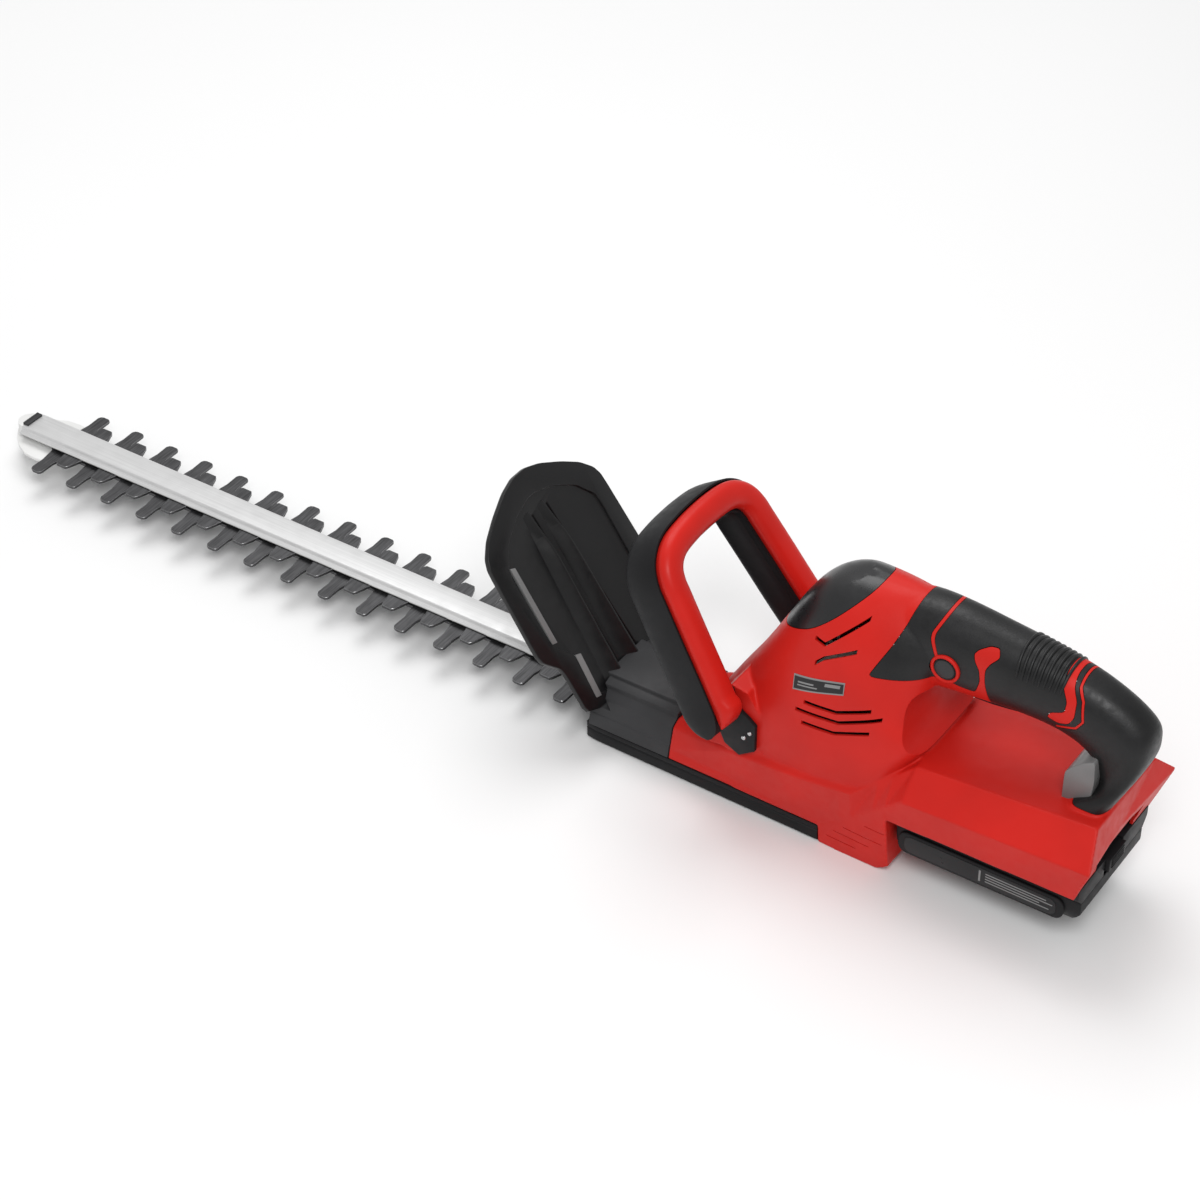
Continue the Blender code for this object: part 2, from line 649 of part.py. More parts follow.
def make_base():
    """The black sole tray and the stepped grey plate above the blade root."""
    rings = []
    for x, half_width in ((SOLE_FRONT, 34.5), (SOLE_FRONT - 8.0, 36.0), (SOLE_REAR, 37.2)):
        rings.append([(x, y, z) for y, z in both_sides([(half_width, SOLE_BOTTOM), (half_width, SOLE_TOP)])])
    sole = loft("base_sole", rings, BLACK)
    hollow_low = (SOLE_REAR + WALL, -33.5, SOLE_BOTTOM + WALL)
    hollow_high = (SOLE_FRONT - WALL - 5.0, 33.5, 0.0)
    cut(sole, box("sole_hollow", hollow_low, hollow_high, cutter=True))
    settle(sole)
    steps = [(36.0, SOLE_TOP + GAP), (36.0, 9.0), (33.0, 11.0), (33.0, 15.5), (29.0, 17.5), (29.0, 21.0),
             (24.0, 22.5)]
    front = cross_prism("front_plate", both_sides(steps), BODY_FRONT + GAP, SOLE_FRONT - 2.0, GREY)
    lean = math.tan(GUARD_LEAN)
    back_of_guard = [(GUARD_FOOT_X + lean * z - 0.5, z) for z in (6.0, 30.0)]
    cut(front, side_prism("guard_seat", back_of_guard + [(-430.0, 30.0), (-430.0, 6.0)], -60, 60, cutter=True))
    tools = [
        box_mesh((BODY_FRONT - 5.0, -14.0, -3.6), (-430.0, 14.0, 8.3)),
        box_mesh((BODY_FRONT + 4.0, -31.0, -12.0), (-450.0, 31.0, 6.5)),
        box_mesh((BODY_FRONT + 4.0, -26.0, 0.0), (-470.0, 26.0, 18.5)),
        box_mesh((-452.0, -27.0, -3.7), (-430.0, 27.0, 3.5)),
    ]
    for side in (-1, 1):
        tools.append(rod_mesh((-440.0, 22.0 * side, 15.0), (-480.0, 22.0 * side, 15.0), 2.7, 12))
    cut_each(front, tools)


make_base()


# ---- guard ----
def guard_frame():
    """Local (y, up the guard, thickness) axes of the guard in the shape frame."""
    up = Vector((math.sin(GUARD_LEAN), 0.0, math.cos(GUARD_LEAN)))
    front = Vector((math.cos(GUARD_LEAN), 0.0, -math.sin(GUARD_LEAN)))
    side = up.cross(front)
    return Matrix(((side.x, up.x, front.x, GUARD_FOOT_X), (side.y, up.y, front.y, 0.0),
                   (side.z, up.z, front.z, 0.0), (0, 0, 0, 1)))


GUARD_HALF = [(48.0, 12.5), (48.0, 47.0), (58.5, 58.0), (60.0, 64.0), (58.0, 122.0), (55.0, 129.0),
              (47.0, 137.0), (34.0, 145.0), (18.0, 153.0), (6.0, 156.5)]


def make_guard():
    """The hand guard: a leaning shield with a recessed rear panel and stiffening ribs."""
    frame = guard_frame()
    guard = outline("blade_guard", [both_sides(GUARD_HALF)], 0.0, GUARD_THICKNESS, BLACK, frame)
    panel = [(32.0, 20.0), (32.0, 50.0), (44.5, 62.0), (44.5, 114.0), (34.0, 126.0), (18.0, 135.0),
             (5.0, 139.0)]
    cut(guard, outline("guard_panel", [both_sides(panel)], -1.0, 1.6, None, frame, cutter=True))
    holes = [outline_mesh([arc((22.0 * side, 18.3), 2.0, 0, 330, 12)], -5.0, 9.0, frame) for side in (-1, 1)]
    cut(guard, finish(joined(holes), "guard_holes", None, cutter=True))
    settle(guard)
    for name, side in (("left", 1), ("right", -1)):
        centre = frame @ Vector((22.0 * side, 18.3, 0.0))
        normal = (frame.to_3x3() @ Vector((0, 0, 1))).normalized()
        bolt("guard_screw_" + name, centre + normal * 6.0, -normal, 3.2, 2.2, 1.3, 5.8)


make_guard()


# ---- front handle ----
def handle_point(across, up, forward):
    """A point from the handle's own axes: across (y), up the loop, forward of its parting plane."""
    s, c = math.sin(HANDLE_LEAN), math.cos(HANDLE_LEAN)
    return (HANDLE_FOOT_X + up * s + forward * c, across, up * c - forward * s)


def handle_path():
    """The loop's middle line as (across, up, outward direction) from the left foot to the right foot."""
    left = [(54.0, 66.0), (53.2, 76.0), (50.2, 100.0), (47.4, 126.0), (44.6, 150.0)]
    corner = [(43.6, 158.0), (40.5, 165.5), (34.5, 171.0), (26.0, 174.3)]
    half = left + corner + [(13.0, 175.8)]
    points = half + [(0.0, 176.2)] + [(-a, u) for a, u in reversed(half)]
    path = []
    for i, (a, u) in enumerate(points):
        before, after = points[max(i - 1, 0)], points[min(i + 1, len(points) - 1)]
        along = Vector((after[0] - before[0], after[1] - before[1])).normalized()
        path.append((a, u, Vector((along.y, -along.x))))
    return path


def handle_loft(name, section, mat, pivot=(0.0, 0.0, 0.0)):
    """A section of (outward, forward) points carried along the handle loop."""
    rings = []
    for a, u, out in handle_path():
        rings.append([handle_point(a + out.x * o, u + out.y * o, f) for o, f in section])
    return loft(name, rings, mat, fan=False, pivot=pivot, smooth=35)


SWITCH_BAR_PIVOT = handle_point(0.0, 64.0, -8.0)


def make_front_handle():
    """The black front channel, the red switch bar in its open back, brackets and screws."""
    half = HANDLE_WIDTH / 2
    channel = [(half, 0.0), (half, 22.0), (half - 2.5, 26.0), (half - 5.0, HANDLE_DEPTH),
               (5.0 - half, HANDLE_DEPTH), (2.5 - half, 26.0), (-half, 22.0), (-half, 0.0),
               (1.6 - half, 0.0), (1.6 - half, 20.0), (half - 1.6, 20.0), (half - 1.6, 0.0)]
    channel_piece = handle_loft("front_handle", channel, BLACK)
    grip = [(half - 2.2, 8.0), (half - 2.2, -3.0), (half - 0.3, -3.0), (half - 1.2, -6.5), (half - 4.2, -9.3),
            (0.0, -10.4), (4.2 - half, -9.3), (1.2 - half, -6.5), (0.3 - half, -3.0), (2.2 - half, -3.0),
            (2.2 - half, 8.0)]
    handle_loft("front_switch_bar", grip, RED, pivot=SWITCH_BAR_PIVOT)
    x, z = HANDLE_BOLT
    channel_holes = [rod_mesh((x, side * 41.0, z), (x, side * 47.5, z), 2.5, 12) for side in (-1, 1)]
    cut_each(channel_piece, channel_holes)
    plate = [(-535.0, 50.0), (-541.0, 60.0), (-553.0, 63.0), (-563.5, 54.0), (-563.5, 36.0), (-555.0, 33.0),
             (-541.0, 40.0)]
    for side, sign in (("left", 1), ("right", -1)):
        low, high = sorted((sign * (BOSS_HALF + GAP), sign * (BOSS_HALF + 2.9)))
        bracket = side_prism("handle_bracket_" + side, plate, low, high, BLACK)
        cut_each(bracket, [rod_mesh((x, low - 5.0, z), (x, high + 5.0, z), 2.4, 12)])
    for name, sign in (("left", 1), ("right", -1)):
        bolt("handle_bolt_" + name, (x, sign * 47.8, z), (0.0, -sign, 0.0), 3.5, 2.2, 2.0, 9.5)


make_front_handle()


# ---- cutting blades, bar and nose ----
def blade_half(teeth, front, yoke_front):
    """One side of a blade from its nose to its yoke, as (x, y) points with y positive."""
    half = [(front, 0.0), (front, 7.0), (front - 3.0, BLADE_HALF_WIDTH - 1.0)]
    for number in range(TOOTH_PAIRS):
        half += [(x - number * TOOTH_PITCH, y) for x, y in teeth]
    return half + [(yoke_front, BLADE_HALF_WIDTH), (yoke_front, YOKE_HALF_WIDTH)]


LONG_TOOTH = [(6.0, 12.2), (4.3, 23.2), (4.6, 33.0), (1.7, LONG_TOOTH_REACH), (-2.4, LONG_TOOTH_REACH),
              (-4.4, 33.6), (-4.5, 23.3), (-6.0, 17.0), (-5.6, 12.0)]
SHORT_TOOTH = [(-5.4, 11.0), (-6.8, 17.0), (-7.7, 22.4), (-9.0, SHORT_TOOTH_REACH), (-16.0, SHORT_TOOTH_REACH),
               (-17.5, 21.9), (-19.6, 16.3), (-21.0, 11.0)]
BOLT_PLACES = [-45.0 - 180.0 * number for number in range(3)]
BAR_BOLT_PLACES = (-516.0, -528.0)
NOSE_BOLT_X = 30.6
YOKE_HALF_WIDTH = 22.0
YOKE_FRONT, YOKE_REAR = GEAR_X + 16.0, GEAR_X - 16.0
YOKE_OPENING_X, YOKE_OPENING_Y = 11.9, 17.0


def make_blades():
    """The two toothed blades, each with guide slots and a yoke round its cam."""
    for name, teeth, low in (("lower_blade", LONG_TOOTH, LOWER_BLADE_TOP - BLADE_THICKNESS),
                             ("upper_blade", SHORT_TOOTH, UPPER_BLADE_BOTTOM)):
        half = blade_half(teeth, 10.0, YOKE_FRONT) + [(YOKE_REAR, YOKE_HALF_WIDTH)]
        loop = half + [(x, -y) for x, y in reversed(half) if y > 0.0]
        holes = [rounded_slot(x, STROKE_HALF + 0.4, 2.6) for x in BOLT_PLACES]
        holes.append([(GEAR_X + sx * YOKE_OPENING_X, sy * YOKE_OPENING_Y)
                      for sx, sy in ((1, -1), (1, 1), (-1, 1), (-1, -1))])
        outline(name, [loop] + holes, low, low + BLADE_THICKNESS, STEEL)


def rounded_slot(x, half_travel, radius):
    """A slot with round ends, lengthwise along X."""
    return (arc((x + half_travel, 0.0), radius, -90, 90, 6) + arc((x - half_travel, 0.0), radius, 90, 270, 6))


def make_bar():
    """The support bar above the blades, its bolts, and the cover on its nose."""
    half = [(12.5, BAR_BOTTOM), (12.5, 3.6), (9.6, 5.0), (9.0, 6.4), (7.4, BAR_TOP)]
    bar = cross_prism("blade_bar", both_sides(half), BAR_REAR, BAR_FRONT, BAR)
    cut_each(bar, [rod_mesh((x, 0, 0), (x, 0, 5.4), 2.5, 12) for x in BOLT_PLACES]
             + [rod_mesh((x, 0, 0), (x, 0, 20), 2.4, 12) for x in BAR_BOLT_PLACES + (NOSE_BOLT_X,)])
    for number, x in enumerate(BOLT_PLACES):
        bolt(f"blade_bolt_{number + 1}", (x, 0, -4.6), (0, 0, 1), 4.3, 2.3, 2.1, 7.3)
    for number, x in enumerate(BAR_BOLT_PLACES):
        bolt(f"bar_bolt_{number + 1}", (x, 0, 14.2), (0, 0, -1), 3.6, 2.4, 2.1, 8.8)
    half = [(2.0, 21.5), (12.0, 23.0), (22.0, 22.0), (31.0, 17.5), (38.0, 11.5), (NOSE_FRONT, 3.0)]
    loop = half + [(x, -y) for x, y in reversed(half)]
    hole = arc((NOSE_BOLT_X, 0.0), 2.4, 0, 330, 12)
    cover = outline("nose_cover", [loop, hole], -4.6, -2.5, PALE)
    lip = outline("nose_lip", [[(34.6, 8.0), (41.0, 6.0), (43.4, 1.0), (43.4, -1.0), (41.0, -6.0), (34.6, -8.0)]],
                  -3.0, 5.5, cutter=True)
    cut(cover, lip, "UNION")
    settle(cover)
    clip = box("nose_clip", (27.8, -7.0, BAR_TOP + GAP), (33.8, 7.0, 8.8), GREY)
    cut(clip, rod("nose_pin", (NOSE_BOLT_X, 0, -5.5), (NOSE_BOLT_X, 0, 8.0), 2.0, sides=12, cutter=True), "UNION")
    settle(clip)


make_blades()
make_bar()


# ---- gearbox ----
CASE_LOW, CASE_HIGH = 4.5, 24.5
CASE_REAR, CASE_FRONT, CASE_HALF = -604.0, -536.5, 28.0
GEAR_LOW, GEAR_HIGH = 12.0, 19.0
# Half widths of a tooth at its tip and root, as shares of the tooth pitch.
TIP_SHARE, ROOT_SHARE = 0.11, 0.33


def gear_loop(teeth, turn=0.0):
    """A spur gear's outline about the origin."""
    pitch_radius = GEAR_MODULE * teeth / 2
    tip, root = pitch_radius + 0.9 * GEAR_MODULE, pitch_radius - 1.2 * GEAR_MODULE
    step = 2 * math.pi / teeth
    loop = []
    for number in range(teeth):
        for share, radius in ((-ROOT_SHARE, root), (-TIP_SHARE, tip), (TIP_SHARE, tip), (ROOT_SHARE, root)):
            angle = (number + share) * step + turn
            loop.append((radius * math.cos(angle), radius * math.sin(angle)))
    return loop


def placed_loop(loop, x, y=0.0):
    """An outline moved to a place in the XY plane."""
    return [(a + x, b + y) for a, b in loop]


def ring_mesh(x, inner, outer, low, high, sides=20):
    """An upright ring about a vertical axis at x."""
    step = 360 / sides
    loops = [arc((x, 0.0), radius, 0, 360 - step, sides) for radius in (outer, inner)]
    return outline_mesh(loops, low, high, Matrix())


def make_gearbox():
    """The gear train that turns the motor's spin into two opposed strokes."""
    case = box("gearbox_case", (CASE_REAR, -CASE_HALF, CASE_LOW), (CASE_FRONT, CASE_HALF, CASE_HIGH), CAST)
    cut(case, box("bar_flange", (CASE_FRONT - 2.0, -12.0, 7.4), (-508.0, 12.0, 11.4), cutter=True), "UNION")
    settle(case)
    cut_each(case, [box_mesh((CASE_REAR + 3.4, -24.6, 7.6), (CASE_FRONT - 3.4, 24.6, 40.0)),
                    rod_mesh((GEAR_X, 0, 0), (GEAR_X, 0, 10), 8.3, 20)]
             + [rod_mesh((x, 0, 0), (x, 0, 20), 2.4, 12) for x in BAR_BOLT_PLACES])
    cover = box("gearbox_cover", (CASE_REAR, -29.0, -6.5), (-520.0, 29.0, -3.5), CAST)
    cut_each(cover, [rod_mesh((GEAR_X, 0, -10), (GEAR_X, 0, 0), SHAFT_RADIUS + GAP, 20)])
    for name, low, high in (("lower", 4.8, 7.3), ("upper", 20.6, 24.2)):
        finish(ring_mesh(GEAR_X, SHAFT_RADIUS + GAP, 8.0, low, high), "gear_bearing_" + name, BRIGHT, smooth=40)
    pivot = (GEAR_X, 0.0, 0.0)
    bore = arc((GEAR_X, 0.0), SHAFT_RADIUS + GAP, 0, 345, 24)
    outline("drive_gear", [placed_loop(gear_loop(GEAR_TEETH, math.pi / GEAR_TEETH), GEAR_X), bore],
            GEAR_LOW, GEAR_HIGH, BRIGHT, pivot=pivot)
    shaft = rod("eccentric_shaft", (GEAR_X, 0, -8), (GEAR_X, 0, 24), SHAFT_RADIUS, BRIGHT, pivot=pivot)
    for side, low in ((1, UPPER_BLADE_BOTTOM), (-1, LOWER_BLADE_TOP - BLADE_THICKNESS)):
        centre = side * STROKE_HALF
        cam = rod(f"cam_{side}", (GEAR_X, centre, low), (GEAR_X, centre, low + BLADE_THICKNESS), CAM_RADIUS,
                  sides=28, cutter=True)
        cut(shaft, cam, "UNION")
    settle(shaft)


make_gearbox()


# ---- motor ----
def make_motor():
    """The motor that stands on the gearbox, its rotor, pinion and fan."""
    pivot = (MOTOR_X, 0.0, 0.0)
    plate = box("motor_mount_plate", (-614.0, -24.0, CASE_HIGH + GAP), (-546.0, 24.0, 26.7), CAST)
    cut_each(plate, [rod_mesh((MOTOR_X, 0, 20), (MOTOR_X, 0, 30), 5.3, 16)])
    centre = (MOTOR_X, 0.0, 0.0)
    turned("motor_can", [(MOTOR_RADIUS, 83.5), (MOTOR_RADIUS, 27.0), (2.0, 27.0), (2.0, 28.8),
                         (MOTOR_RADIUS - 1.8, 28.8), (MOTOR_RADIUS - 1.8, 83.5), (MOTOR_RADIUS, 83.5)],
           centre, CAST, 28)
    turned("motor_end_cap", [(MOTOR_RADIUS, 86.5), (MOTOR_RADIUS, 83.8), (2.0, 83.8), (2.0, 89.5), (11.0, 89.5),
                             (12.0, 86.5), (MOTOR_RADIUS, 86.5)], centre, BLACK, 28)
    finish(ring_mesh(MOTOR_X, 16.2, 18.6, 34.0, 78.0, 24), "magnet_ring", GREY, smooth=40)
    turned("motor_rotor", [(0, 93.5), (1.6, 93.5), (1.6, 82.5), (7.0, 82.0), (7.0, 76.0), (9.0, 74.0),
                           (14.8, 73.0), (14.8, 39.0), (9.0, 38.0), (5.0, 34.0), (1.6, 33.0), (1.6, 9.5),
                           (0, 9.5)], centre, COPPER, 20)
    bore = arc((MOTOR_X, 0.0), 1.9, 0, 330, 12)
    outline("pinion", [placed_loop(gear_loop(PINION_TEETH), MOTOR_X), bore], 10.5, 20.5, BRIGHT, pivot=pivot)
    blades = 11
    loop = []
    for number in range(blades):
        for share, radius in ((0.0, 9.0), (0.25, 24.0), (0.4, 24.0), (0.45, 9.0)):
            angle = 2 * math.pi * (number + share) / blades
            loop.append((MOTOR_X + radius * math.cos(angle), radius * math.sin(angle)))
    outline("motor_fan", [loop, bore], 91.0, 93.2, NYLON, pivot=pivot)


make_motor()


# ---- rear grip controls ----
def spring(name, start, end, radius, turns, wire=0.55):
    """A coil spring."""
    return tube(name, coil_points(start, end, radius, turns), wire, BRIGHT, resolution=1)


def make_controls():
    """The trigger, its lock button and switch, and the web behind the grip."""
    px, _, pz = TRIGGER_PIVOT
    loop = arc((px, pz), 4.6, 60, 250, 7) + [(-716.0, 108.5), (-700.0, 105.2), (-684.0, 103.8), (-677.5, 104.6),
                                             (-676.0, 112.0), (-679.0, 119.6), (-700.0, 120.2)]
    trigger = side_prism("trigger", loop, -6.0, 6.0, BLACK, pivot=TRIGGER_PIVOT)
    cut_each(trigger, [rod_mesh((px, -10, pz), (px, 10, pz), 2.1, 14)])
    rod("trigger_pin", (px, -8.2, pz), (px, 8.2, pz), 1.8, BRIGHT, 14)
    switch = box("trigger_switch", (-712.0, -7.0, 130.0), (-678.0, 7.0, 142.0), BLACK)
    cut(switch, box("switch_plunger", (-706.0, -2.0, 123.2), (-701.0, 2.0, 131.0), cutter=True), "UNION")
    settle(switch)
    spring("trigger_spring", (-686.0, 0, 124.4), (-686.0, 0, 129.3), 3.2, 3)
    rod("lock_button", (BUTTON_X, -21.4, BUTTON_Z), (BUTTON_X, 21.4, BUTTON_Z), 6.5, BLACK, 24,
        pivot=(BUTTON_X, 0.0, BUTTON_Z))
    loops = [arc((BUTTON_X, BUTTON_Z), radius, 0, 345, 24) for radius in (9.5, 6.9)]
    for name, low, high in (("left", 18.8, 21.6), ("right", -21.6, -18.8)):
        outline("button_ring_" + name, loops, -high, -low, GREY, XZ_PLANE)
    web = [(-746.5, 75.6), (-746.5, 90.0), (-750.6, 94.6), (-755.6, 88.0), (-758.0, 83.0), (-756.6, 76.4)]
    side_prism("grip_web", web, -WEB_HALF, WEB_HALF, LIGHT)


make_controls()


def make_electrics():
    """The control board, the battery contacts, the handle switch and the wires."""
    board = box("controller_board", (-764.0, -25.0, 52.0), (-664.0, 25.0, 53.6), BOARD)
    for low, high in (((-758, -20, 53), (-738, 20, 61)), ((-730, -22, 53), (-718, -6, 58)),
                      ((-730, 6, 53), (-718, 22, 58)), ((-706, -18, 53), (-684, 18, 60))):
        cut(board, box("board_part", low, high, cutter=True), "UNION")
    settle(board)
    block = box("terminal_block", (-652.0, -20.0, 35.0), (-640.6, 20.0, 45.0), BLACK)
    for y in TERMINALS:
        cut(block, box(f"terminal_{y}", (-668.0, y - 0.6, 38.4), (-650.0, y + 0.6, 42.0), cutter=True), "UNION")
    settle(block)
    ends = [Vector(handle_point(0.0, 176.0, depth)) for depth in (11.2, 19.4)]
    across = Vector((0, 1, 0))
    upwards = Vector(handle_point(0.0, 1.0, 0.0)) - Vector(handle_point(0.0, 0.0, 0.0))
    corners = [(-9.0, -4.5), (9.0, -4.5), (9.0, 4.5), (-9.0, 4.5)]
    loft("handle_switch", [[end + across * a + upwards * u for a, u in corners] for end in ends], BLACK)
    spring("switch_bar_spring", handle_point(49.0, 112.0, 10.4), handle_point(49.0, 112.0, 19.2), 3.0, 4)
    tube("power_cable", [(-638.8, 0.0, 40.0), (-634.0, 0.0, 42.0), (-627.5, 0.0, 52.0), (-625.5, 0.0, 70.0),
                         (-622.0, 0.0, 84.0), (-615.0, 0.0, 88.4), (-606.6, 0.0, 88.4)], 1.6, WIRE)
    tube("switch_cable", [(-662.4, 0.0, 57.0), (-650.0, 0.0, 57.0), (-636.0, 0.0, 58.5), (-631.6, 0.0, 72.0),
                          (-629.0, 0.0, 112.0), (-640.0, 0.0, 130.0), (-655.0, 0.0, 143.0),
                          (-668.0, 0.0, 146.5), (-684.0, 0.0, 144.2)], 1.5, WIRE)


make_electrics()


def make_housing_screws():
    """The screws that hold the two housing halves together, driven from the right."""
    for number, (x, z, reach) in enumerate(HOUSING_SCREWS):
        bolt(f"housing_screw_{number + 1}", (x, 3.4 - reach, z), (0, 1, 0), 3.2, 2.3, 1.6, 2 * reach - 12.0)


make_housing_screws()


# ---- battery ----
CELL_RADIUS, CELL_PITCH, CELL_FIRST = 9.1, 18.6, -670.0
LATCH_X = (-766.0, -774.5)


def make_battery():
    """The slide-in battery: two case halves, cells, latch and its spring."""
    half = [(33.0, 1.5), (37.0, 5.0), (37.5, 20.0)]
    lower = cross_prism("battery_lower_case", both_sides(half), BATTERY_REAR, BATTERY_FRONT, BLACK)
    cut_each(lower, [box_mesh((BATTERY_REAR + 8.0, -33.6, 4.0), (BATTERY_FRONT - 2.4, 33.6, 25.0)),
                     rod_mesh((-768.0, 0, 8.0), (-768.0, 0, 25.0), 3.4, 14)])
    half = [(37.5, 20.3), (42.4, 26.6), (42.4, 33.0), (22.0, 33.0), (22.0, 37.6), (26.9, 37.9), (26.9, 43.0)]
    upper = cross_prism("battery_upper_case", both_sides(half), BATTERY_REAR, BATTERY_FRONT, BLACK)
    cut_each(upper, [box_mesh((BATTERY_REAR + 8.0, -34.0, 19.0), (BATTERY_FRONT - 2.4, 34.0, 30.6)),
                     box_mesh((-790.0, -11.0, 19.0), (BATTERY_REAR + 7.0, 11.0, 50.0)),
                     box_mesh((-790.0, -60.0, 33.2), (BATTERY_REAR + 10.0, 60.0, 50.0))]
             + [box_mesh((-670.0, y - 1.4, 36.0), (-650.0, y + 1.4, 50.0)) for y in TERMINALS])
    cells = box("battery_cells", (CELL_FIRST - 4 * CELL_PITCH, -31.0, 11.0), (CELL_FIRST, 31.0, 15.8), CELL)
    for number in range(5):
        x = CELL_FIRST - CELL_PITCH * number
        cut(cells, rod(f"cell_{number}", (x, -32.5, 13.4), (x, 32.5, 13.4), CELL_RADIUS, sides=12, cutter=True),
            "UNION")
    settle(cells)
    box("battery_latch", (LATCH_X[1], -10.0, 23.6), (LATCH_X[0], 10.0, 32.6), RED)
    spring("latch_spring", (-768.0, 0, 9.4), (-768.0, 0, 19.6), 2.4, 4)


make_battery()
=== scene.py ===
"""Visual model of a battery hedge trimmer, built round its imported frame.

Shapes are written in millimetres in the tool's own axes: x = 0 at the tip of the first long tooth and rising
forwards, y to the tool's left, z = 0 at the top of the lower blade. ORIGIN puts them in the frame's metres.
"""
import json
import math

import bmesh
import bpy
from mathutils import Matrix, Vector
from mathutils.bvhtree import BVHTree


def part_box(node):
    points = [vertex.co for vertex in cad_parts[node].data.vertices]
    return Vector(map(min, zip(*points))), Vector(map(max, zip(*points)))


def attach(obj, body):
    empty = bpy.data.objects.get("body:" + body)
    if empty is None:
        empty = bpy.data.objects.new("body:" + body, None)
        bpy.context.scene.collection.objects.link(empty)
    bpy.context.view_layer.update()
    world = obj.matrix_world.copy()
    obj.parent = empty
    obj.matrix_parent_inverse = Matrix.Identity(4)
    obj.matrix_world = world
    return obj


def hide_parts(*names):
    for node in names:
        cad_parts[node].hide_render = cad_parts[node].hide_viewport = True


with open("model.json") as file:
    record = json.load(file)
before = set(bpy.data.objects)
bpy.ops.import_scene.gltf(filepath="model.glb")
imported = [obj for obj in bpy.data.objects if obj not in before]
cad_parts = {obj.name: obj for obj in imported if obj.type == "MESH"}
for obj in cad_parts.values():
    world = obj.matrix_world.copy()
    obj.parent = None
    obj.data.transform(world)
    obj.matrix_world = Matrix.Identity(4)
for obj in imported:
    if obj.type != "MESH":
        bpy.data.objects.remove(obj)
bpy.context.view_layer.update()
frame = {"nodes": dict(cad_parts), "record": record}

MM = 0.001
NOSE_REACH = 45.0
SOLE_LOW = -20.0
ORIGIN = Vector((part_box("nose_cover")[1].x - NOSE_REACH * MM, 0.0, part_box("base_sole")[0].z - SOLE_LOW * MM))
TO_WORLD = Matrix.Translation(ORIGIN) @ Matrix.Scale(MM, 4)


# ---- materials ----
class Shader:
    """A short way to build one node material."""

    def __init__(self, name, colour, roughness, metallic=0.0, **sockets):
        self.material = bpy.data.materials.new(name)
        self.material.use_nodes = True
        self.nodes = self.material.node_tree.nodes
        self.links = self.material.node_tree.links
        self.shader = self.nodes["Principled BSDF"]
        self.shader.inputs["Base Color"].default_value = (*colour, 1.0)
        self.shader.inputs["Roughness"].default_value = roughness
        self.shader.inputs["Metallic"].default_value = metallic
        for socket, value in sockets.items():
            self.shader.inputs[socket.replace("_", " ")].default_value = value
        self.place = self.nodes.new("ShaderNodeTexCoord").outputs["Object"]
        self.height = None

    def noise(self, size_mm, detail=3.0, stretch=(1.0, 1.0, 1.0)):
        """A noise whose features are about size_mm across, longer along an axis where stretch is small."""
        mapping = self.nodes.new("ShaderNodeMapping")
        mapping.inputs["Scale"].default_value = stretch
        self.links.new(self.place, mapping.inputs["Vector"])
        texture = self.nodes.new("ShaderNodeTexNoise")
        texture.inputs["Scale"].default_value = 1.0 / (size_mm * MM)
        texture.inputs["Detail"].default_value = detail
        self.links.new(mapping.outputs["Vector"], texture.inputs["Vector"])
        return texture.outputs["Fac"]

    def pebble(self, size_mm):
        """A cellular grain like a spark-eroded mould's."""
        texture = self.nodes.new("ShaderNodeTexVoronoi")
        texture.inputs["Scale"].default_value = 1.0 / (size_mm * MM)
        self.links.new(self.place, texture.inputs["Vector"])
        return texture.outputs["Distance"]

    def spread(self, value, low, high, start=0.3, end=0.7):
        """The value mapped from start..end to low..high."""
        change = self.nodes.new("ShaderNodeMapRange")
        change.inputs["From Min"].default_value = start
        change.inputs["From Max"].default_value = end
        change.inputs["To Min"].default_value = low
        change.inputs["To Max"].default_value = high
        self.links.new(value, change.inputs["Value"])
        return change.outputs["Result"]

    def colours(self, value, first, second, start=0.35, end=0.65):
        """Base colour that wanders between two colours."""
        ramp = self.nodes.new("ShaderNodeValToRGB")
        ramp.color_ramp.elements[0].position = start
        ramp.color_ramp.elements[0].color = (*first, 1.0)
        ramp.color_ramp.elements[1].position = end
        ramp.color_ramp.elements[1].color = (*second, 1.0)
        self.links.new(value, ramp.inputs["Fac"])
        self.links.new(ramp.outputs["Color"], self.shader.inputs["Base Color"])
        return self

    def roughness(self, value, low, high):
        """Roughness that wanders between two values."""
        self.links.new(self.spread(value, low, high), self.shader.inputs["Roughness"])
        return self

    def bump(self, value, depth_mm):
        """One more layer of relief."""
        layer = self.nodes.new("ShaderNodeBump")
        layer.inputs["Strength"].default_value = 1.0
        layer.inputs["Distance"].default_value = depth_mm * MM
        self.links.new(value, layer.inputs["Height"])
        if self.height is not None:
            self.links.new(self.height, layer.inputs["Normal"])
        self.height = layer.outputs["Normal"]
        self.links.new(self.height, self.shader.inputs["Normal"])
        return self


def scaled(colour, factor):
    """A colour made darker or lighter."""
    return tuple(min(1.0, channel * factor) for channel in colour)


def plastic(name, colour, roughness, grain=0.7, depth=0.03, variation=0.12, **sockets):
    """Moulded plastic: fine grain, slight clouding of colour and gloss."""
    made = Shader(name, colour, roughness, **sockets)
    clouds = made.noise(38.0, 2.0)
    made.colours(clouds, scaled(colour, 1.0 - variation), scaled(colour, 1.0 + variation))
    made.roughness(made.noise(6.0, 4.0), roughness - 0.05, roughness + 0.07)
    made.bump(made.noise(grain, 2.0), depth)
    return made.material


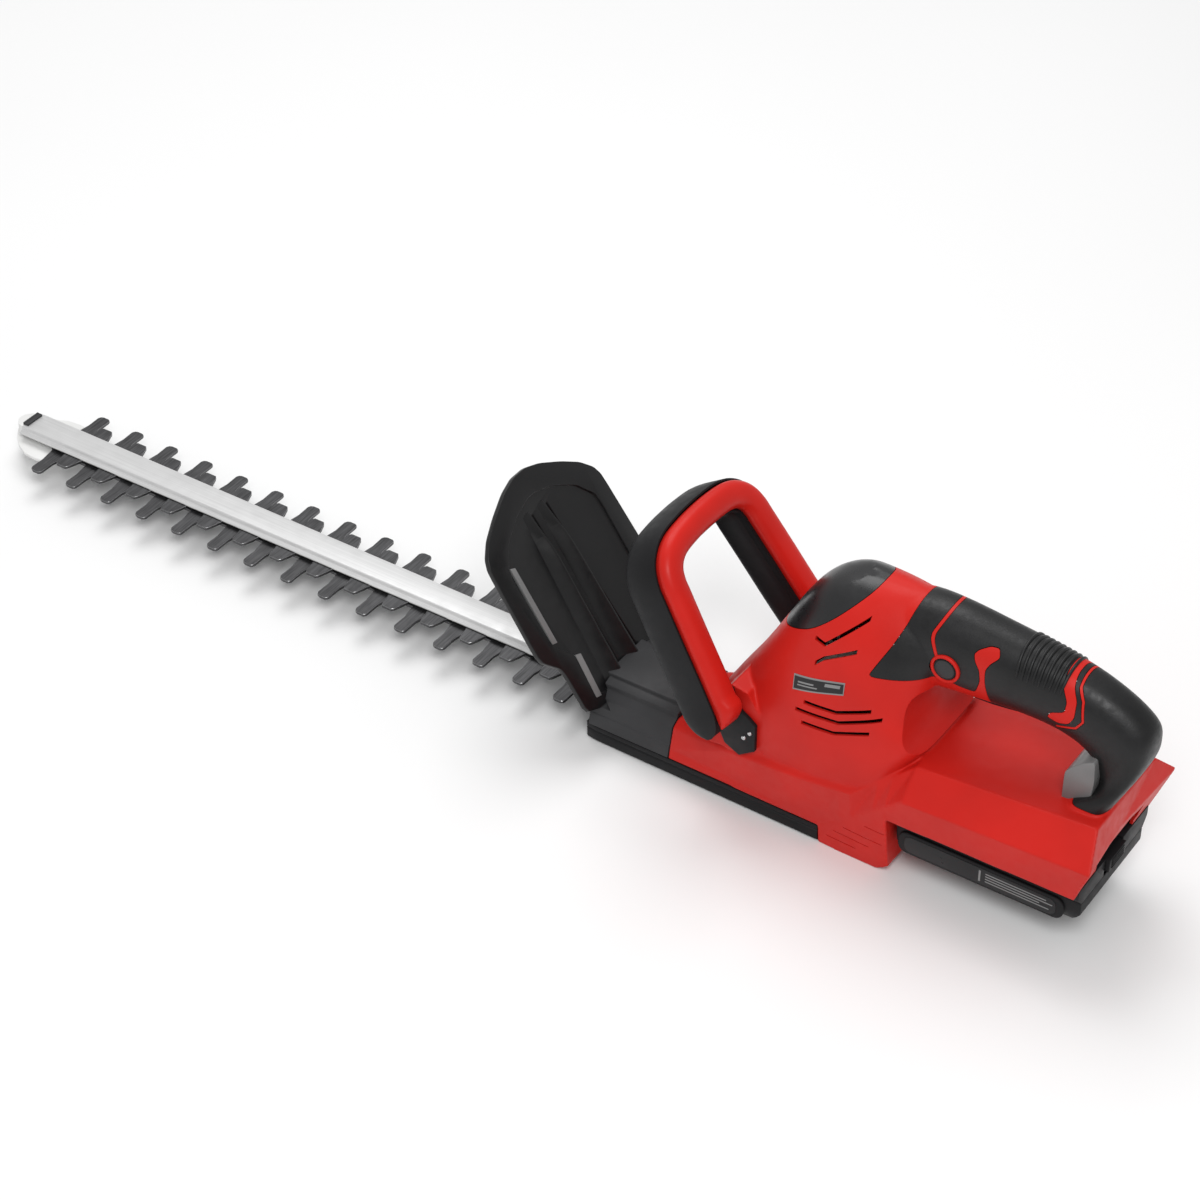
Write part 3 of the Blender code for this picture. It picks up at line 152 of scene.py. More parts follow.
def overmould(name, colour, roughness, grain, depth):
    """Soft black overmould with a pebbled grain."""
    made = Shader(name, colour, roughness, Specular_IOR_Level=0.32)
    made.colours(made.noise(25.0, 3.0), scaled(colour, 0.75), scaled(colour, 1.3))
    made.roughness(made.noise(3.0, 4.0), roughness - 0.06, roughness + 0.09)
    made.bump(made.pebble(grain), depth)
    made.bump(made.noise(0.5, 2.0), depth * 0.4)
    return made.material


def metal(name, colour, roughness, streak=(0.02, 1.0, 1.0), depth=0.01, metallic=1.0, variation=0.12):
    """Metal with fine drawn or ground streaks."""
    made = Shader(name, colour, roughness, metallic)
    streaks = made.noise(0.9, 4.0, streak)
    made.colours(streaks, scaled(colour, 1.0 - variation), scaled(colour, 1.0 + variation))
    made.roughness(made.noise(9.0, 4.0), roughness - 0.07, roughness + 0.09)
    made.bump(streaks, depth)
    return made.material


DULL = {"Specular_IOR_Level": 0.18}
RED = plastic("red_shell", (0.56, 0.015, 0.010), 0.42, grain=0.5, depth=0.012, variation=0.05, **DULL)
RED_SMOOTH = plastic("red_switch_bar", (0.56, 0.015, 0.010), 0.36, grain=0.7, depth=0.01, variation=0.05, **DULL)
BLACK = plastic("black_moulding", (0.011, 0.011, 0.012), 0.46, grain=0.5, depth=0.02, **DULL)
GUARD_BLACK = plastic("guard_black", (0.007, 0.007, 0.0075), 0.33, grain=0.7, depth=0.012, Specular_IOR_Level=0.35)
DOME_BLACK = plastic("motor_dome_black", (0.012, 0.012, 0.013), 0.30, grain=0.6, depth=0.012)
GRIP_SKIN = overmould("grip_overmould", (0.009, 0.009, 0.0095), 0.40, 0.9, 0.03)
GREY = plastic("dark_grey_moulding", (0.040, 0.040, 0.042), 0.44, grain=0.5, depth=0.02, **DULL)
LIGHT = plastic("light_grey_moulding", (0.42, 0.42, 0.42), 0.38, grain=0.8, depth=0.02)
WEB_GREY = plastic("web_grey", (0.16, 0.16, 0.16), 0.32, grain=0.8, depth=0.015, variation=0.2)
# Paler grey of the guard's edge strips: a painted highlight for the lit side wall of the guard's black recess.
GUARD_PAINTED_HIGHLIGHT = plastic("guard_painted_highlight", (0.17, 0.17, 0.17), 0.4, grain=0.8, depth=0.02)
PALE = plastic("pale_nose", (0.78, 0.78, 0.77), 0.32, grain=0.8, depth=0.015, variation=0.04)
LABEL = plastic("blank_label", (0.026, 0.026, 0.027), 0.32, grain=2.0, depth=0.006, **DULL)
BORDER = plastic("label_border", (0.22, 0.22, 0.22), 0.34, grain=2.0, depth=0.008)
NYLON = plastic("white_nylon", (0.72, 0.70, 0.64), 0.45, grain=0.8, depth=0.02)
BOARD = plastic("circuit_board", (0.015, 0.13, 0.05), 0.35, grain=1.5, depth=0.03)
CELLS = plastic("cell_sleeve", (0.06, 0.26, 0.36), 0.32, grain=1.5, depth=0.02)
WIRE = plastic("wire_insulation", (0.32, 0.02, 0.02), 0.42, grain=1.0, depth=0.02)
TOOTH = metal("tooth_steel", (0.085, 0.085, 0.088), 0.36, (1.0, 0.05, 1.0), 0.02, 0.85, 0.3)
EDGE = metal("ground_edge", (0.42, 0.42, 0.43), 0.28, (0.05, 1.0, 1.0), 0.01, 1.0)
BAR = metal("satin_bar", (0.66, 0.66, 0.66), 0.42, (0.01, 1.0, 1.0), 0.008, 0.35, 0.05)
CAST = metal("cast_aluminium", (0.42, 0.43, 0.44), 0.5, (1.0, 1.0, 1.0), 0.03)
STEEL = metal("bright_steel", (0.55, 0.55, 0.56), 0.26)
COPPER = metal("copper_winding", (0.55, 0.22, 0.09), 0.36, (1.0, 1.0, 0.05), 0.05)
CUT = bpy.data.materials.new("cut_face")

SLOT_MATERIAL = {
    "red_plastic": RED, "black_plastic": BLACK, "gloss_black_plastic": DOME_BLACK, "soft_overmould": GRIP_SKIN,
    "grey_plastic": GREY, "light_plastic": LIGHT, "pale_plastic": PALE, "blade_steel": TOOTH, "aluminium": CAST,
    "bright_steel": STEEL, "copper": COPPER, "board": BOARD, "cell_sleeve": CELLS, "wire": WIRE,
}


# ---- mesh tools (millimetres in, frame metres out) ----
def show(bm, name, body, materials, replaces=(), smooth=35.0, bevel=0.0, segments=2, bevel_angle=30.0):
    """Turn a mesh in millimetres into a finished piece that rides on a CAD body."""
    bmesh.ops.recalc_face_normals(bm, faces=bm.faces)
    obj = as_object(bm, name, materials)
    if bevel:
        bevelled(obj, bevel, segments, bevel_angle)
    return finished(obj, body, replaces, smooth)


def linked(name, data):
    """A new object, put into the scene."""
    obj = bpy.data.objects.new(name, data)
    bpy.context.scene.collection.objects.link(obj)
    return obj


def as_object(bm, name, materials):
    """A scene object from a mesh in millimetres."""
    mesh = bpy.data.meshes.new(name)
    bm.to_mesh(mesh)
    bm.free()
    mesh.transform(TO_WORLD)
    for each in materials if isinstance(materials, (list, tuple)) else [materials]:
        mesh.materials.append(each)
    return linked(name, mesh)


def finished(obj, body, replaces=(), smooth=35.0):
    """Shade and seat a piece on its body, and hide the CAD pieces it replaces."""
    obj.data.shade_smooth()
    obj.data.set_sharp_from_angle(angle=math.radians(smooth))
    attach(obj, body)
    if replaces:
        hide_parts(*replaces)
    return obj


def settle(obj):
    """Keep an object's evaluated shape as its own mesh."""
    graph = bpy.context.evaluated_depsgraph_get()
    mesh = bpy.data.meshes.new_from_object(obj.evaluated_get(graph))
    obj.modifiers.clear()
    obj.data = mesh
    return obj


def bevelled(obj, width, segments=2, angle=35.0, material=-1):
    """Round an object's sharp edges; material is the new faces' slot, or -1 for their neighbours'."""
    edge = obj.modifiers.new("edges", "BEVEL")
    edge.width = width * MM
    edge.segments = segments
    edge.limit_method = "ANGLE"
    edge.angle_limit = math.radians(angle)
    edge.material = material
    return settle(obj)


def boolean(target, cutter, operation="DIFFERENCE"):
    """Apply a Boolean and remove its cutter."""
    change = target.modifiers.new("cut", "BOOLEAN")
    change.operation = operation
    change.solver = "EXACT"
    change.object = cutter
    settle(target)
    bpy.data.objects.remove(cutter)


def carve(target, *meshes):
    """Cut meshes out of an object; the cut faces carry its own material."""
    for bm in meshes:
        boolean(target, as_object(bm, "tool", list(target.data.materials)))


def loft(rings, ring_shaped=False):
    """A closed skin through rings of equal length, with fanned ends or its last ring joined to its first."""
    bm = bmesh.new()
    rows = [[bm.verts.new(point) for point in ring] for ring in rings]
    count = len(rows[0])
    for first, second in zip(rows, rows[1:] + (rows[:1] if ring_shaped else [])):
        for i in range(count):
            j = (i + 1) % count
            bm.faces.new((first[i], first[j], second[j], second[i]))
    if not ring_shaped:
        bmesh.ops.poke(bm, faces=[bm.faces.new(rows[0]), bm.faces.new(rows[-1])])
    return bm


def curve_mesh(curve):
    """The mesh of a filled or thickened curve."""
    holder = linked("curve", curve)
    mesh = bpy.data.meshes.new_from_object(holder.evaluated_get(bpy.context.evaluated_depsgraph_get()))
    bpy.data.objects.remove(holder)
    return mesh


def prism(loops, low, high, plane=Matrix()):
    """A flat outline, with holes where loops nest, made thick along its normal."""
    curve = bpy.data.curves.new("outline", "CURVE")
    curve.dimensions = "2D"
    curve.fill_mode = "BOTH"
    curve.extrude = (high - low) / 2
    for loop in loops:
        spline = curve.splines.new("POLY")
        spline.points.add(len(loop) - 1)
        spline.use_cyclic_u = True
        for point, (a, b) in zip(spline.points, loop):
            point.co = (a, b, 0.0, 1.0)
    bm = bmesh.new()
    bm.from_mesh(curve_mesh(curve))
    bmesh.ops.remove_doubles(bm, verts=bm.verts, dist=0.0005)
    bmesh.ops.dissolve_limit(bm, angle_limit=0.001, verts=bm.verts, edges=bm.edges)
    bmesh.ops.translate(bm, verts=bm.verts, vec=(0, 0, (low + high) / 2))
    bmesh.ops.transform(bm, matrix=plane, verts=bm.verts)
    bmesh.ops.recalc_face_normals(bm, faces=bm.faces)
    return bm


# The flat outline's own axes laid in the side view (x, z) and in a cross-section (y, z).
XZ_PLANE = Matrix(((1, 0, 0, 0), (0, 0, -1, 0), (0, 1, 0, 0), (0, 0, 0, 1)))
YZ_PLANE = Matrix(((0, 0, 1, 0), (1, 0, 0, 0), (0, 1, 0, 0), (0, 0, 0, 1)))
CUTTER_REACH = 80.0


def side_prism(loops, y_low, y_high):
    """Side-view outlines made thick across the tool."""
    return prism(loops, -y_high, -y_low, XZ_PLANE)


def through(*loops):
    """A cutter that runs right through the tool from side to side."""
    return side_prism(loops, -CUTTER_REACH, CUTTER_REACH)


def side_plate(loop, side, near, far):
    """A side-view outline made thick on one side of the tool, between two distances from its middle."""
    return side_prism([loop], *sorted((side * near, side * far)))


def cross_prism(loop, x_low, x_high):
    """A cross-section run along the tool."""
    return prism([loop], x_low, x_high, YZ_PLANE)


def box(low, high):
    """A box between two corners."""
    bm = bmesh.new()
    bmesh.ops.create_cube(bm, size=1.0)
    low, high = Vector(low), Vector(high)
    bmesh.ops.scale(bm, vec=high - low, verts=bm.verts)
    bmesh.ops.translate(bm, vec=(low + high) / 2, verts=bm.verts)
    return bm


def box_at_side(side, low, high):
    """A box given for the left side of the tool, or its mirror image on the right."""
    near, far = sorted((side * low[1], side * high[1]))
    return box((low[0], near, low[2]), (high[0], far, high[2]))


def rod(start, end, radius, sides=32, end_radius=None):
    """A cylinder or cone between two points."""
    start, end = Vector(start), Vector(end)
    axis = end - start
    bm = bmesh.new()
    bmesh.ops.create_cone(bm, cap_ends=True, segments=sides, radius1=radius,
                          radius2=radius if end_radius is None else end_radius, depth=axis.length)
    turn = Vector((0, 0, 1)).rotation_difference(axis.normalized()).to_matrix().to_4x4()
    bmesh.ops.transform(bm, matrix=Matrix.Translation((start + end) / 2) @ turn, verts=bm.verts)
    return bm


def merged(*meshes):
    """Several meshes in one."""
    whole = bmesh.new()
    for bm in meshes:
        mesh = bpy.data.meshes.new("piece")
        bm.to_mesh(mesh)
        bm.free()
        whole.from_mesh(mesh)
        bpy.data.meshes.remove(mesh)
    return whole


def marked_tool(bm):
    """A cutter whose faces carry the cut material, so that skin_piece can find and drop them."""
    for face in bm.faces:
        face.material_index = 1
    return as_object(bm, "tool", [RED, CUT])


def both_sides(half):
    """A closed ring of (y, z) points from its +Y half."""
    return half + [(-y, z) for y, z in reversed(half)]


def both_edges(half):
    """A closed plan outline of (x, y) points from its +Y half, whose points on the middle line count once."""
    return half + [(x, -y) for x, y in reversed(half) if y > 0.0]


def arc(centre, radius, start, end, count):
    """Points on an arc, angles in degrees."""
    turns = [math.radians(start + (end - start) * i / (count - 1)) for i in range(count)]
    return [(centre[0] + radius * math.cos(a), centre[1] + radius * math.sin(a)) for a in turns]


def spline_rows(rows, steps):
    """Rows of equal length joined by a smooth curve through each column."""
    made = []
    last = len(rows) - 1
    for i in range(last):
        before, here = rows[max(i - 1, 0)], rows[i]
        after, beyond = rows[i + 1], rows[min(i + 2, last)]
        for step in range(steps):
            t = step / steps
            made.append([0.5 * (2 * b + (c - a) * t + (2 * a - 5 * b + 4 * c - d) * t * t
                                + (3 * b - a - 3 * c + d) * t ** 3)
                         for a, b, c, d in zip(before, here, after, beyond)])
    return made + [list(rows[last])]


def rounded(loop, passes=3, keep=0.22):
    """A closed outline with its corners cut round."""
    for _ in range(passes):
        made = []
        for i, here in enumerate(loop):
            after = loop[(i + 1) % len(loop)]
            for share in (keep, 1 - keep):
                made.append(tuple(a + (b - a) * share for a, b in zip(here, after)))
        loop = made
    return loop


def grown(loop, margin):
    """An outline moved outwards by margin."""
    count = len(loop)
    area = sum(loop[i][0] * loop[(i + 1) % count][1] - loop[(i + 1) % count][0] * loop[i][1]
               for i in range(count))
    sign = 1.0 if area > 0 else -1.0
    moved = []
    for i in range(count):
        before, here, after = Vector(loop[i - 1]), Vector(loop[i]), Vector(loop[(i + 1) % count])
        first, second = (here - before).normalized(), (after - here).normalized()
        normal_1 = Vector((first.y, -first.x)) * sign
        normal_2 = Vector((second.y, -second.x)) * sign
        middle = (normal_1 + normal_2).normalized()
        moved.append(tuple(here + middle * margin / max(0.5, middle.dot(normal_1))))
    return moved


# ---- outer form of the housing ----
# The lower body and hood: x, then (y, z) of the bottom edge, lower crease, upper crease and top edge.
LOWER_BODY = [
    (-500.0, (36.0, -7.6), (34.6, -1.0), (31.0, 12.6), (25.5, 16.0)),
    (-545.0, (36.5, -7.6), (36.8, -1.0), (40.5, 22.5), (33.0, 30.0)),
    (-585.0, (37.0, -7.6), (38.0, -4.0), (45.5, 30.0), (37.0, 40.0)),
    (-604.1, (37.2, -7.6), (37.4, -5.0), (46.0, 32.5), (37.0, 44.0)),
    (-604.5, (37.2, -20.0), (37.4, -5.2), (46.0, 32.5), (37.0, 44.0)),
    (-621.0, (37.5, -20.0), (42.0, 9.0), (46.7, 35.5), (37.0, 50.0)),
    (-629.0, (37.7, -20.0), (43.7, 17.0), (47.0, 37.0), (36.0, 52.0)),
    (-644.0, (38.0, -20.0), (47.0, 32.0), (42.5, 50.0), (33.0, 58.0)),
    (-652.0, (38.6, -14.0), (48.6, 40.0), (39.5, 57.0), (30.0, 62.0)),
    (-652.4, (46.0, 28.0), (48.8, 40.4), (39.4, 57.3), (30.0, 62.3)),
    (-664.0, (46.2, 28.2), (51.0, 51.0), (36.0, 67.0), (29.0, 67.2)),
    (-700.0, (46.5, 28.8), (51.6, 53.5), (35.7, 70.0), (28.0, 69.6)),
]
HOOD_END = [(-771.0, 47.0, 30.0), (-781.0, 53.0, 58.0), (-775.0, 35.0, 76.0), (-775.0, 28.0, 75.4)]

# The motor hump by height: z, front x, rear x, half width, roundness of its rear.
HUMP = [
    (10.0, -507.0, -648.0, 36.0, 5.0),
    (34.0, -517.0, -648.0, 43.5, 5.0),
    (57.0, -530.0, -656.0, 45.5, 5.0),
    (78.0, -543.0, -668.0, 44.2, 5.0),
    (92.0, -551.0, -661.0, 42.3, 4.5),
    (104.0, -557.5, -661.0, 40.0, 3.6),
    (118.0, -565.0, -664.0, 36.4, 3.0),
    (130.0, -571.5, -669.0, 32.8, 2.6),
    (141.0, -579.0, -669.0, 27.4, 2.3),
    (149.0, -587.5, -666.0, 20.8, 2.1),
    (154.2, -597.0, -660.0, 14.4, 2.0),
    (157.2, -606.5, -653.0, 8.6, 2.0),
    (158.3, -614.0, -646.0, 4.0, 2.0),
]
HUMP_MIDDLE = -608.0

# The rear grip: upper x, z, lower x, z, half width and squareness (1 is an ellipse), from hump to post.
GRIP = [
    (-630.0, 152.0, -634.2, 118.8, 19.0, 0.9),
    (-638.0, 156.6, -645.2, 110.6, 21.6, 0.9),
    (-651.0, 159.2, -658.2, 104.7, 21.4, 0.9),
    (-669.5, 159.0, -674.1, 105.4, 20.3, 0.9),
    (-690.2, 156.8, -692.0, 107.0, 19.6, 0.9),
    (-712.0, 154.2, -711.0, 108.4, 18.8, 0.9),
    (-736.8, 150.5, -729.4, 107.6, 17.6, 0.9),
    (-756.0, 145.4, -743.0, 104.4, 17.0, 0.9),
    (-774.6, 137.0, -752.3, 99.0, 16.9, 0.9),
    (-786.4, 126.6, -758.2, 91.6, 17.2, 0.85),
    (-788.0, 113.4, -760.8, 84.9, 17.9, 0.78),
    (-784.8, 100.0, -758.2, 79.0, 20.6, 0.62),
    (-778.8, 86.6, -750.5, 75.0, 24.4, 0.50),
    (-773.4, 75.2, -744.0, 68.5, 27.0, 0.45),
    (-772.0, 66.2, -743.0, 60.0, 28.0, 0.50),
]

# Side-view outlines on the form: the glossy cap, the skin round the button, the grip's skin with its red inlay
# and the middle line of the thin red line behind that.
CAP_EDGE = [(-561.0, 110.5), (-577.0, 120.5), (-590.0, 128.5), (-601.0, 138.0), (-612.0, 149.0),
            (-620.0, 157.5), (-626.0, 170.0), (-560.0, 180.0), (-535.0, 110.5)]
CHEEK_EDGE = [(-629.6, 116.6), (-634.0, 126.0), (-638.7, 135.6), (-642.5, 146.0), (-645.0, 158.0),
              (-647.0, 175.0), (-667.5, 175.0), (-662.0, 158.0), (-657.5, 147.0), (-663.0, 134.0),
              (-667.6, 121.0), (-659.0, 119.4), (-646.0, 118.2)]
GRIP_EDGE = [(-669.3, 175.0), (-663.9, 158.0), (-659.5, 147.0), (-664.9, 134.0), (-669.8, 121.2),
             (-677.0, 118.8), (-687.0, 119.0), (-690.0, 129.3), (-689.0, 136.6), (-685.7, 141.3),
             (-684.4, 145.2), (-686.4, 148.0), (-691.8, 151.0), (-696.8, 151.2), (-698.6, 147.2),
             (-694.4, 142.8), (-692.2, 138.4), (-692.6, 130.5), (-694.8, 118.0), (-696.0, 93.0),
             (-735.0, 74.5), (-800.0, 78.0), (-800.0, 175.0)]
REAR_INLAY = [(-735.4, 174.0), (-735.2, 152.4), (-736.2, 144.3), (-740.7, 136.5), (-740.2, 129.4),
              (-732.1, 125.9), (-730.4, 122.0), (-736.6, 120.2), (-743.0, 122.6), (-746.0, 128.3),
              (-745.8, 137.9), (-742.2, 144.2), (-740.4, 150.2), (-740.8, 174.0)]
REAR_LINE = [(-746.4, 174.0), (-744.6, 149.8), (-745.2, 145.0), (-749.1, 139.0), (-751.2, 127.6),
             (-747.4, 121.6), (-735.4, 116.6)]
# The hand opening's front, cut after the join so that its edge stays crisp.
OPENING = [(-700.0, 71.6), (-676.0, 70.4), (-667.0, 71.6), (-659.5, 76.5), (-655.6, 84.0), (-653.4, 94.0),
           (-653.2, 102.0), (-654.8, 107.6), (-659.0, 110.6), (-664.0, 109.6), (-670.0, 104.6), (-700.0, 104.0)]
HANDLE_BOSS = [(-531, 24), (-575, 26), (-575, 44), (-556, 72), (-545, 74), (-533, 56)]
BUTTON_X, BUTTON_Z = -669.0, 129.5
SIDES = ((1, "left"), (-1, "right"))
SEAM = 0.35
REAR_LINE_WIDTH = 1.3
VOXEL = 0.85
HUMP_FRONT_ROUNDNESS = 2.3


def signed_power(value, power):
    """A power that keeps the sign."""
    return math.copysign(abs(value) ** power, value)


def hump_mesh():
    """The motor hump as a smooth stack of level rings."""
    points = 96
    rings = []
    for z, front, rear, half_width, roundness in spline_rows(HUMP, 5):
        ring = []
        for i in range(points):
            angle = 2 * math.pi * (i + 0.5) / points
            c, s = math.cos(angle), math.sin(angle)
            power = 2 / (HUMP_FRONT_ROUNDNESS if c > 0 else roundness)
            reach = (front - HUMP_MIDDLE) if c > 0 else (HUMP_MIDDLE - rear)
            x = HUMP_MIDDLE + reach * signed_power(c, power)
            ring.append((x, half_width * signed_power(s, power), z))
        rings.append(ring)
    return loft(rings)


def grip_mesh():
    """The rear grip as smooth rings round its axis."""
    points = 56
    rings = []
    for ux, uz, lx, lz, half_width, power in spline_rows(GRIP, 5):
        upper, lower = Vector((ux, 0.0, uz)), Vector((lx, 0.0, lz))
        middle, reach = (upper + lower) / 2, (upper - lower) / 2
        ring = []
        for i in range(points):
            angle = 2 * math.pi * (i + 0.5) / points
            c = signed_power(math.cos(angle), power)
            s = signed_power(math.sin(angle), power)
            ring.append(middle + reach * c + Vector((0.0, half_width * s, 0.0)))
        rings.append(ring)
    return loft(rings)


def body_mesh():
    """The lower body and the hood over the battery."""
    rows = [[(x, *point) for point in points] for x, *points in LOWER_BODY] + [HOOD_END]
    return loft([row + [(x, -y, z) for x, y, z in reversed(row)] for row in rows])


def outer_form():
    """The whole outside of the housing as one skin with soft joins."""
    boss = side_prism([HANDLE_BOSS], -40.0, 40.0)
    form = as_object(merged(hump_mesh(), grip_mesh(), body_mesh(), boss), "outer_form", [RED, CUT])
    change = form.modifiers.new("join", "REMESH")
    change.mode = "VOXEL"
    change.voxel_size = VOXEL * MM
    settle(form)
    change = form.modifiers.new("soften", "SMOOTH")
    change.factor = 0.5
    change.iterations = 3
    settle(form)
    boolean(form, as_object(through(rounded(OPENING, 2)), "tool", [RED, RED]))
    return form


FORM = outer_form()
FORM_TREE = BVHTree.FromPolygons([vertex.co.copy() for vertex in FORM.data.vertices],
                                 [polygon.vertices[:] for polygon in FORM.data.polygons])


def on_form(x, z):
    """The point of the outer form seen from the left at x, z, in millimetres, and its normal."""
    outside = 150.0
    place, normal, _, _ = FORM_TREE.ray_cast(TO_WORLD @ Vector((x, outside, z)), Vector((0, -1, 0)))
    return TO_WORLD.inverted() @ place, normal


def skin_piece(name, tools, material, replaces, thickness=1.8):
    """A shell cut from the outer form by (mesh, operation) steps and made thick inwards."""
    piece = linked(name, FORM.data.copy())
    for bm, operation in tools:
        boolean(piece, marked_tool(bm), operation)
    bm = bmesh.new()
    bm.from_mesh(piece.data)
    bmesh.ops.delete(bm, geom=[f for f in bm.faces if f.material_index == 1], context="FACES")
    bm.to_mesh(piece.data)
    bm.free()
    piece.data.materials.clear()
    piece.data.materials.append(material)
    wall = piece.modifiers.new("wall", "SOLIDIFY")
    wall.thickness = thickness * MM
    wall.offset = -1.0
    settle(piece)
    return finished(piece, "housing", replaces, smooth=42.0)


def vent(points, half=1.3):
    """A side-view slot along a few points."""
    return [(x, z - half) for x, z in points] + [(x, z + half) for x, z in reversed(points)]


def band(path, width):
    """A closed outline of constant width round an open path."""
    left, right = [], []
    for i, here in enumerate(path):
        before, after = Vector(path[max(i - 1, 0)]), Vector(path[min(i + 1, len(path) - 1)])
        along = (after - before).normalized()
        aside = Vector((-along.y, along.x)) * width / 2
        left.append(tuple(Vector(here) + aside))
        right.append(tuple(Vector(here) - aside))
    return left + right[::-1]


# Middle lines of the air slots and, low at the rear, of the fine grooves.
VENTS = [[(-594, 86), (-615, 88), (-636, 97)], [(-589, 79), (-617, 82), (-643, 94)],
         [(-594, 72), (-615, 74), (-637, 83)], [(-594, 126), (-601, 125), (-623, 146)],
         [(-597, 112), (-602, 117), (-621, 128)]]
GROOVES = [[(-611, -10), (-631, -10)], [(-616, -3), (-640, -3)], [(-623, 4), (-649, 4)],
           [(-638, 14.5), (-651, 14.5)]]


def make_shells():
    """The red shells, the glossy dome and the two soft skins of the grip."""
    cap, cheek, grip = rounded(CAP_EDGE, 2), rounded(CHEEK_EDGE, 2, 0.15), rounded(GRIP_EDGE, 2, 0.15)
    inlay, line = rounded(REAR_INLAY, 2, 0.15), band(REAR_LINE, REAR_LINE_WIDTH)
    ring = arc((BUTTON_X, BUTTON_Z), 9.2, 0, 350, 36)
    hole = arc((BUTTON_X, BUTTON_Z), 7.0, 0, 350, 36)
    slot_low, slot_high = (-731.5, -7.3, 80.0), (-670.5, 7.3, 114.0)
    bay = both_sides([(43.0, 10.0), (43.0, 33.4), (22.6, 33.4), (22.6, 37.2), (27.5, 37.3), (27.5, 46.0)])
    slits = [through(vent(points)) for points in VENTS] + [through(vent(points, 0.3)) for points in GROOVES]
    cuts = [through(cap), through(cheek), through(grip, inlay, line), through(hole),
            cross_prism(bay, -810.0, -652.8), box((-620.0, -14.5, -9.0), (-480.0, 14.5, 8.6)),
            merged(*slits), box(slot_low, slot_high)]
    skin_piece("housing_shells", [(mesh, "DIFFERENCE") for mesh in cuts], RED,
               ("housing_left", "housing_right"))
    skin_piece("motor_dome", [(through(grown(cap, -SEAM)), "INTERSECT")],
               DOME_BLACK, ("motor_cap",))
    skin_piece("grip_cheek", [(through(grown(cheek, -SEAM)), "INTERSECT"), (through(ring), "DIFFERENCE")],
               GRIP_SKIN, ("grip_front_skin",))
    seats = [grown(grip, -SEAM), grown(inlay, SEAM), band(REAR_LINE, REAR_LINE_WIDTH + 2 * SEAM)]
    skin_piece("grip_skin", [(through(*seats), "INTERSECT"), (through(ring), "DIFFERENCE"),
                             (box(slot_low, slot_high), "DIFFERENCE")],
               GRIP_SKIN, ("grip_rear_skin",))


make_shells()
bpy.data.objects.remove(FORM)


def rib_places(x, tilt):
    """Points of the form along an arc over the grip at x, in a plane leaning back or forwards by tilt."""
    points, half_turn, axis_height, outside = 29, 56.0, 128.0, 70.0
    up = Vector((tilt, 0.0, 1.0)).normalized()
    places = []
    for i in range(points):
        angle = math.radians(half_turn * (2 * i / (points - 1) - 1))
        out = up * math.cos(angle) + Vector((0, math.sin(angle), 0))
        places.append(FORM_TREE.ray_cast(TO_WORLD @ (Vector((x, 0.0, axis_height)) + out * outside), -out)[0])
    return places


def make_grip_ribs():
    """Raised finger ribs over the top of the grip."""
    count, pitch, first, radius = 9, 2.9, -711.5, 1.0
    for number in range(count):
        places = rib_places(first - pitch * number, 0.10 - 0.025 * number)
        curve = bpy.data.curves.new("rib", "CURVE")
        curve.dimensions = "3D"
        curve.bevel_depth = radius * MM
        curve.bevel_resolution = 4
        curve.use_fill_caps = True
        line = curve.splines.new("POLY")
        line.points.add(len(places) - 1)
        for i, (point, place) in enumerate(zip(line.points, places)):
            point.co = (*place, 1.0)
            point.radius = min(1.0, 0.35 + 0.22 * min(i, len(places) - 1 - i))
        rib = linked(f"grip_rib_{number + 1}", curve_mesh(curve))
        rib.data.materials.append(GRIP_SKIN)
        finished(rib, "housing")


def wrapped_plate(name, corners, lift, thickness, material):
    """A thin plate that follows the form's left side inside a four-cornered side-view outline."""
    columns, rows, sunk = 24, 10, 0.4
    bm = bmesh.new()
    grid = []
    for i in range(columns + 1):
        line = []
        for j in range(rows + 1):
            u, v = i / columns, j / rows
            top = Vector(corners[0]).lerp(Vector(corners[1]), u)
            bottom = Vector(corners[3]).lerp(Vector(corners[2]), u)
            line.append(on_form(*top.lerp(bottom, v)))
        grid.append(line)
    for level in (lift + thickness, -sunk):
        for line in grid:
            for place, normal in line:
                bm.verts.new(place + normal * level)
    bm.verts.ensure_lookup_table()
    across = rows + 1
    layer = (columns + 1) * across

    def quad(*indices):
        bm.faces.new([bm.verts[i] for i in indices])

    for base in (0, layer):
        for i in range(columns):
            for j in range(rows):
                a = base + i * across + j
                quad(a, a + 1, a + across + 1, a + across)
    rim = [(i * across, (i + 1) * across) for i in range(columns)]
    rim += [(i * across + rows, (i + 1) * across + rows) for i in range(columns)]
    rim += [(j, j + 1) for j in range(rows)]
    rim += [(columns * across + j, columns * across + j + 1) for j in range(rows)]
    for a, b in rim:
        quad(a, b, b + layer, a + layer)
    show(bm, name, "housing", material)


def make_labels():
    """The blank rating plate on the hump's left, with a fine border and plain bars for print."""
    outer = [(-584.9, 99.7), (-617.8, 108.2), (-618.1, 100.5), (-585.5, 90.1)]
    inner = [(-585.6, 98.8), (-617.2, 107.0), (-617.5, 101.3), (-586.1, 91.2)]
    wrapped_plate("rating_plate_border", outer, 0.15, 0.1, BORDER)
    wrapped_plate("rating_plate", inner, 0.3, 0.1, LABEL)
    bars = [((-588.5, 97.0), (-599.0, 99.7), (-598.9, 98.7), (-588.4, 96.0)),
            ((-588.4, 95.0), (-601.5, 98.4), (-601.4, 97.6), (-588.3, 94.2)),
            ((-606.0, 103.2), (-615.5, 105.6), (-615.3, 103.6), (-605.8, 101.2))]
    for number, corners in enumerate(bars):
        wrapped_plate(f"rating_plate_mark_{number + 1}", corners, 0.42, 0.05, BORDER)


make_grip_ribs()
make_labels()


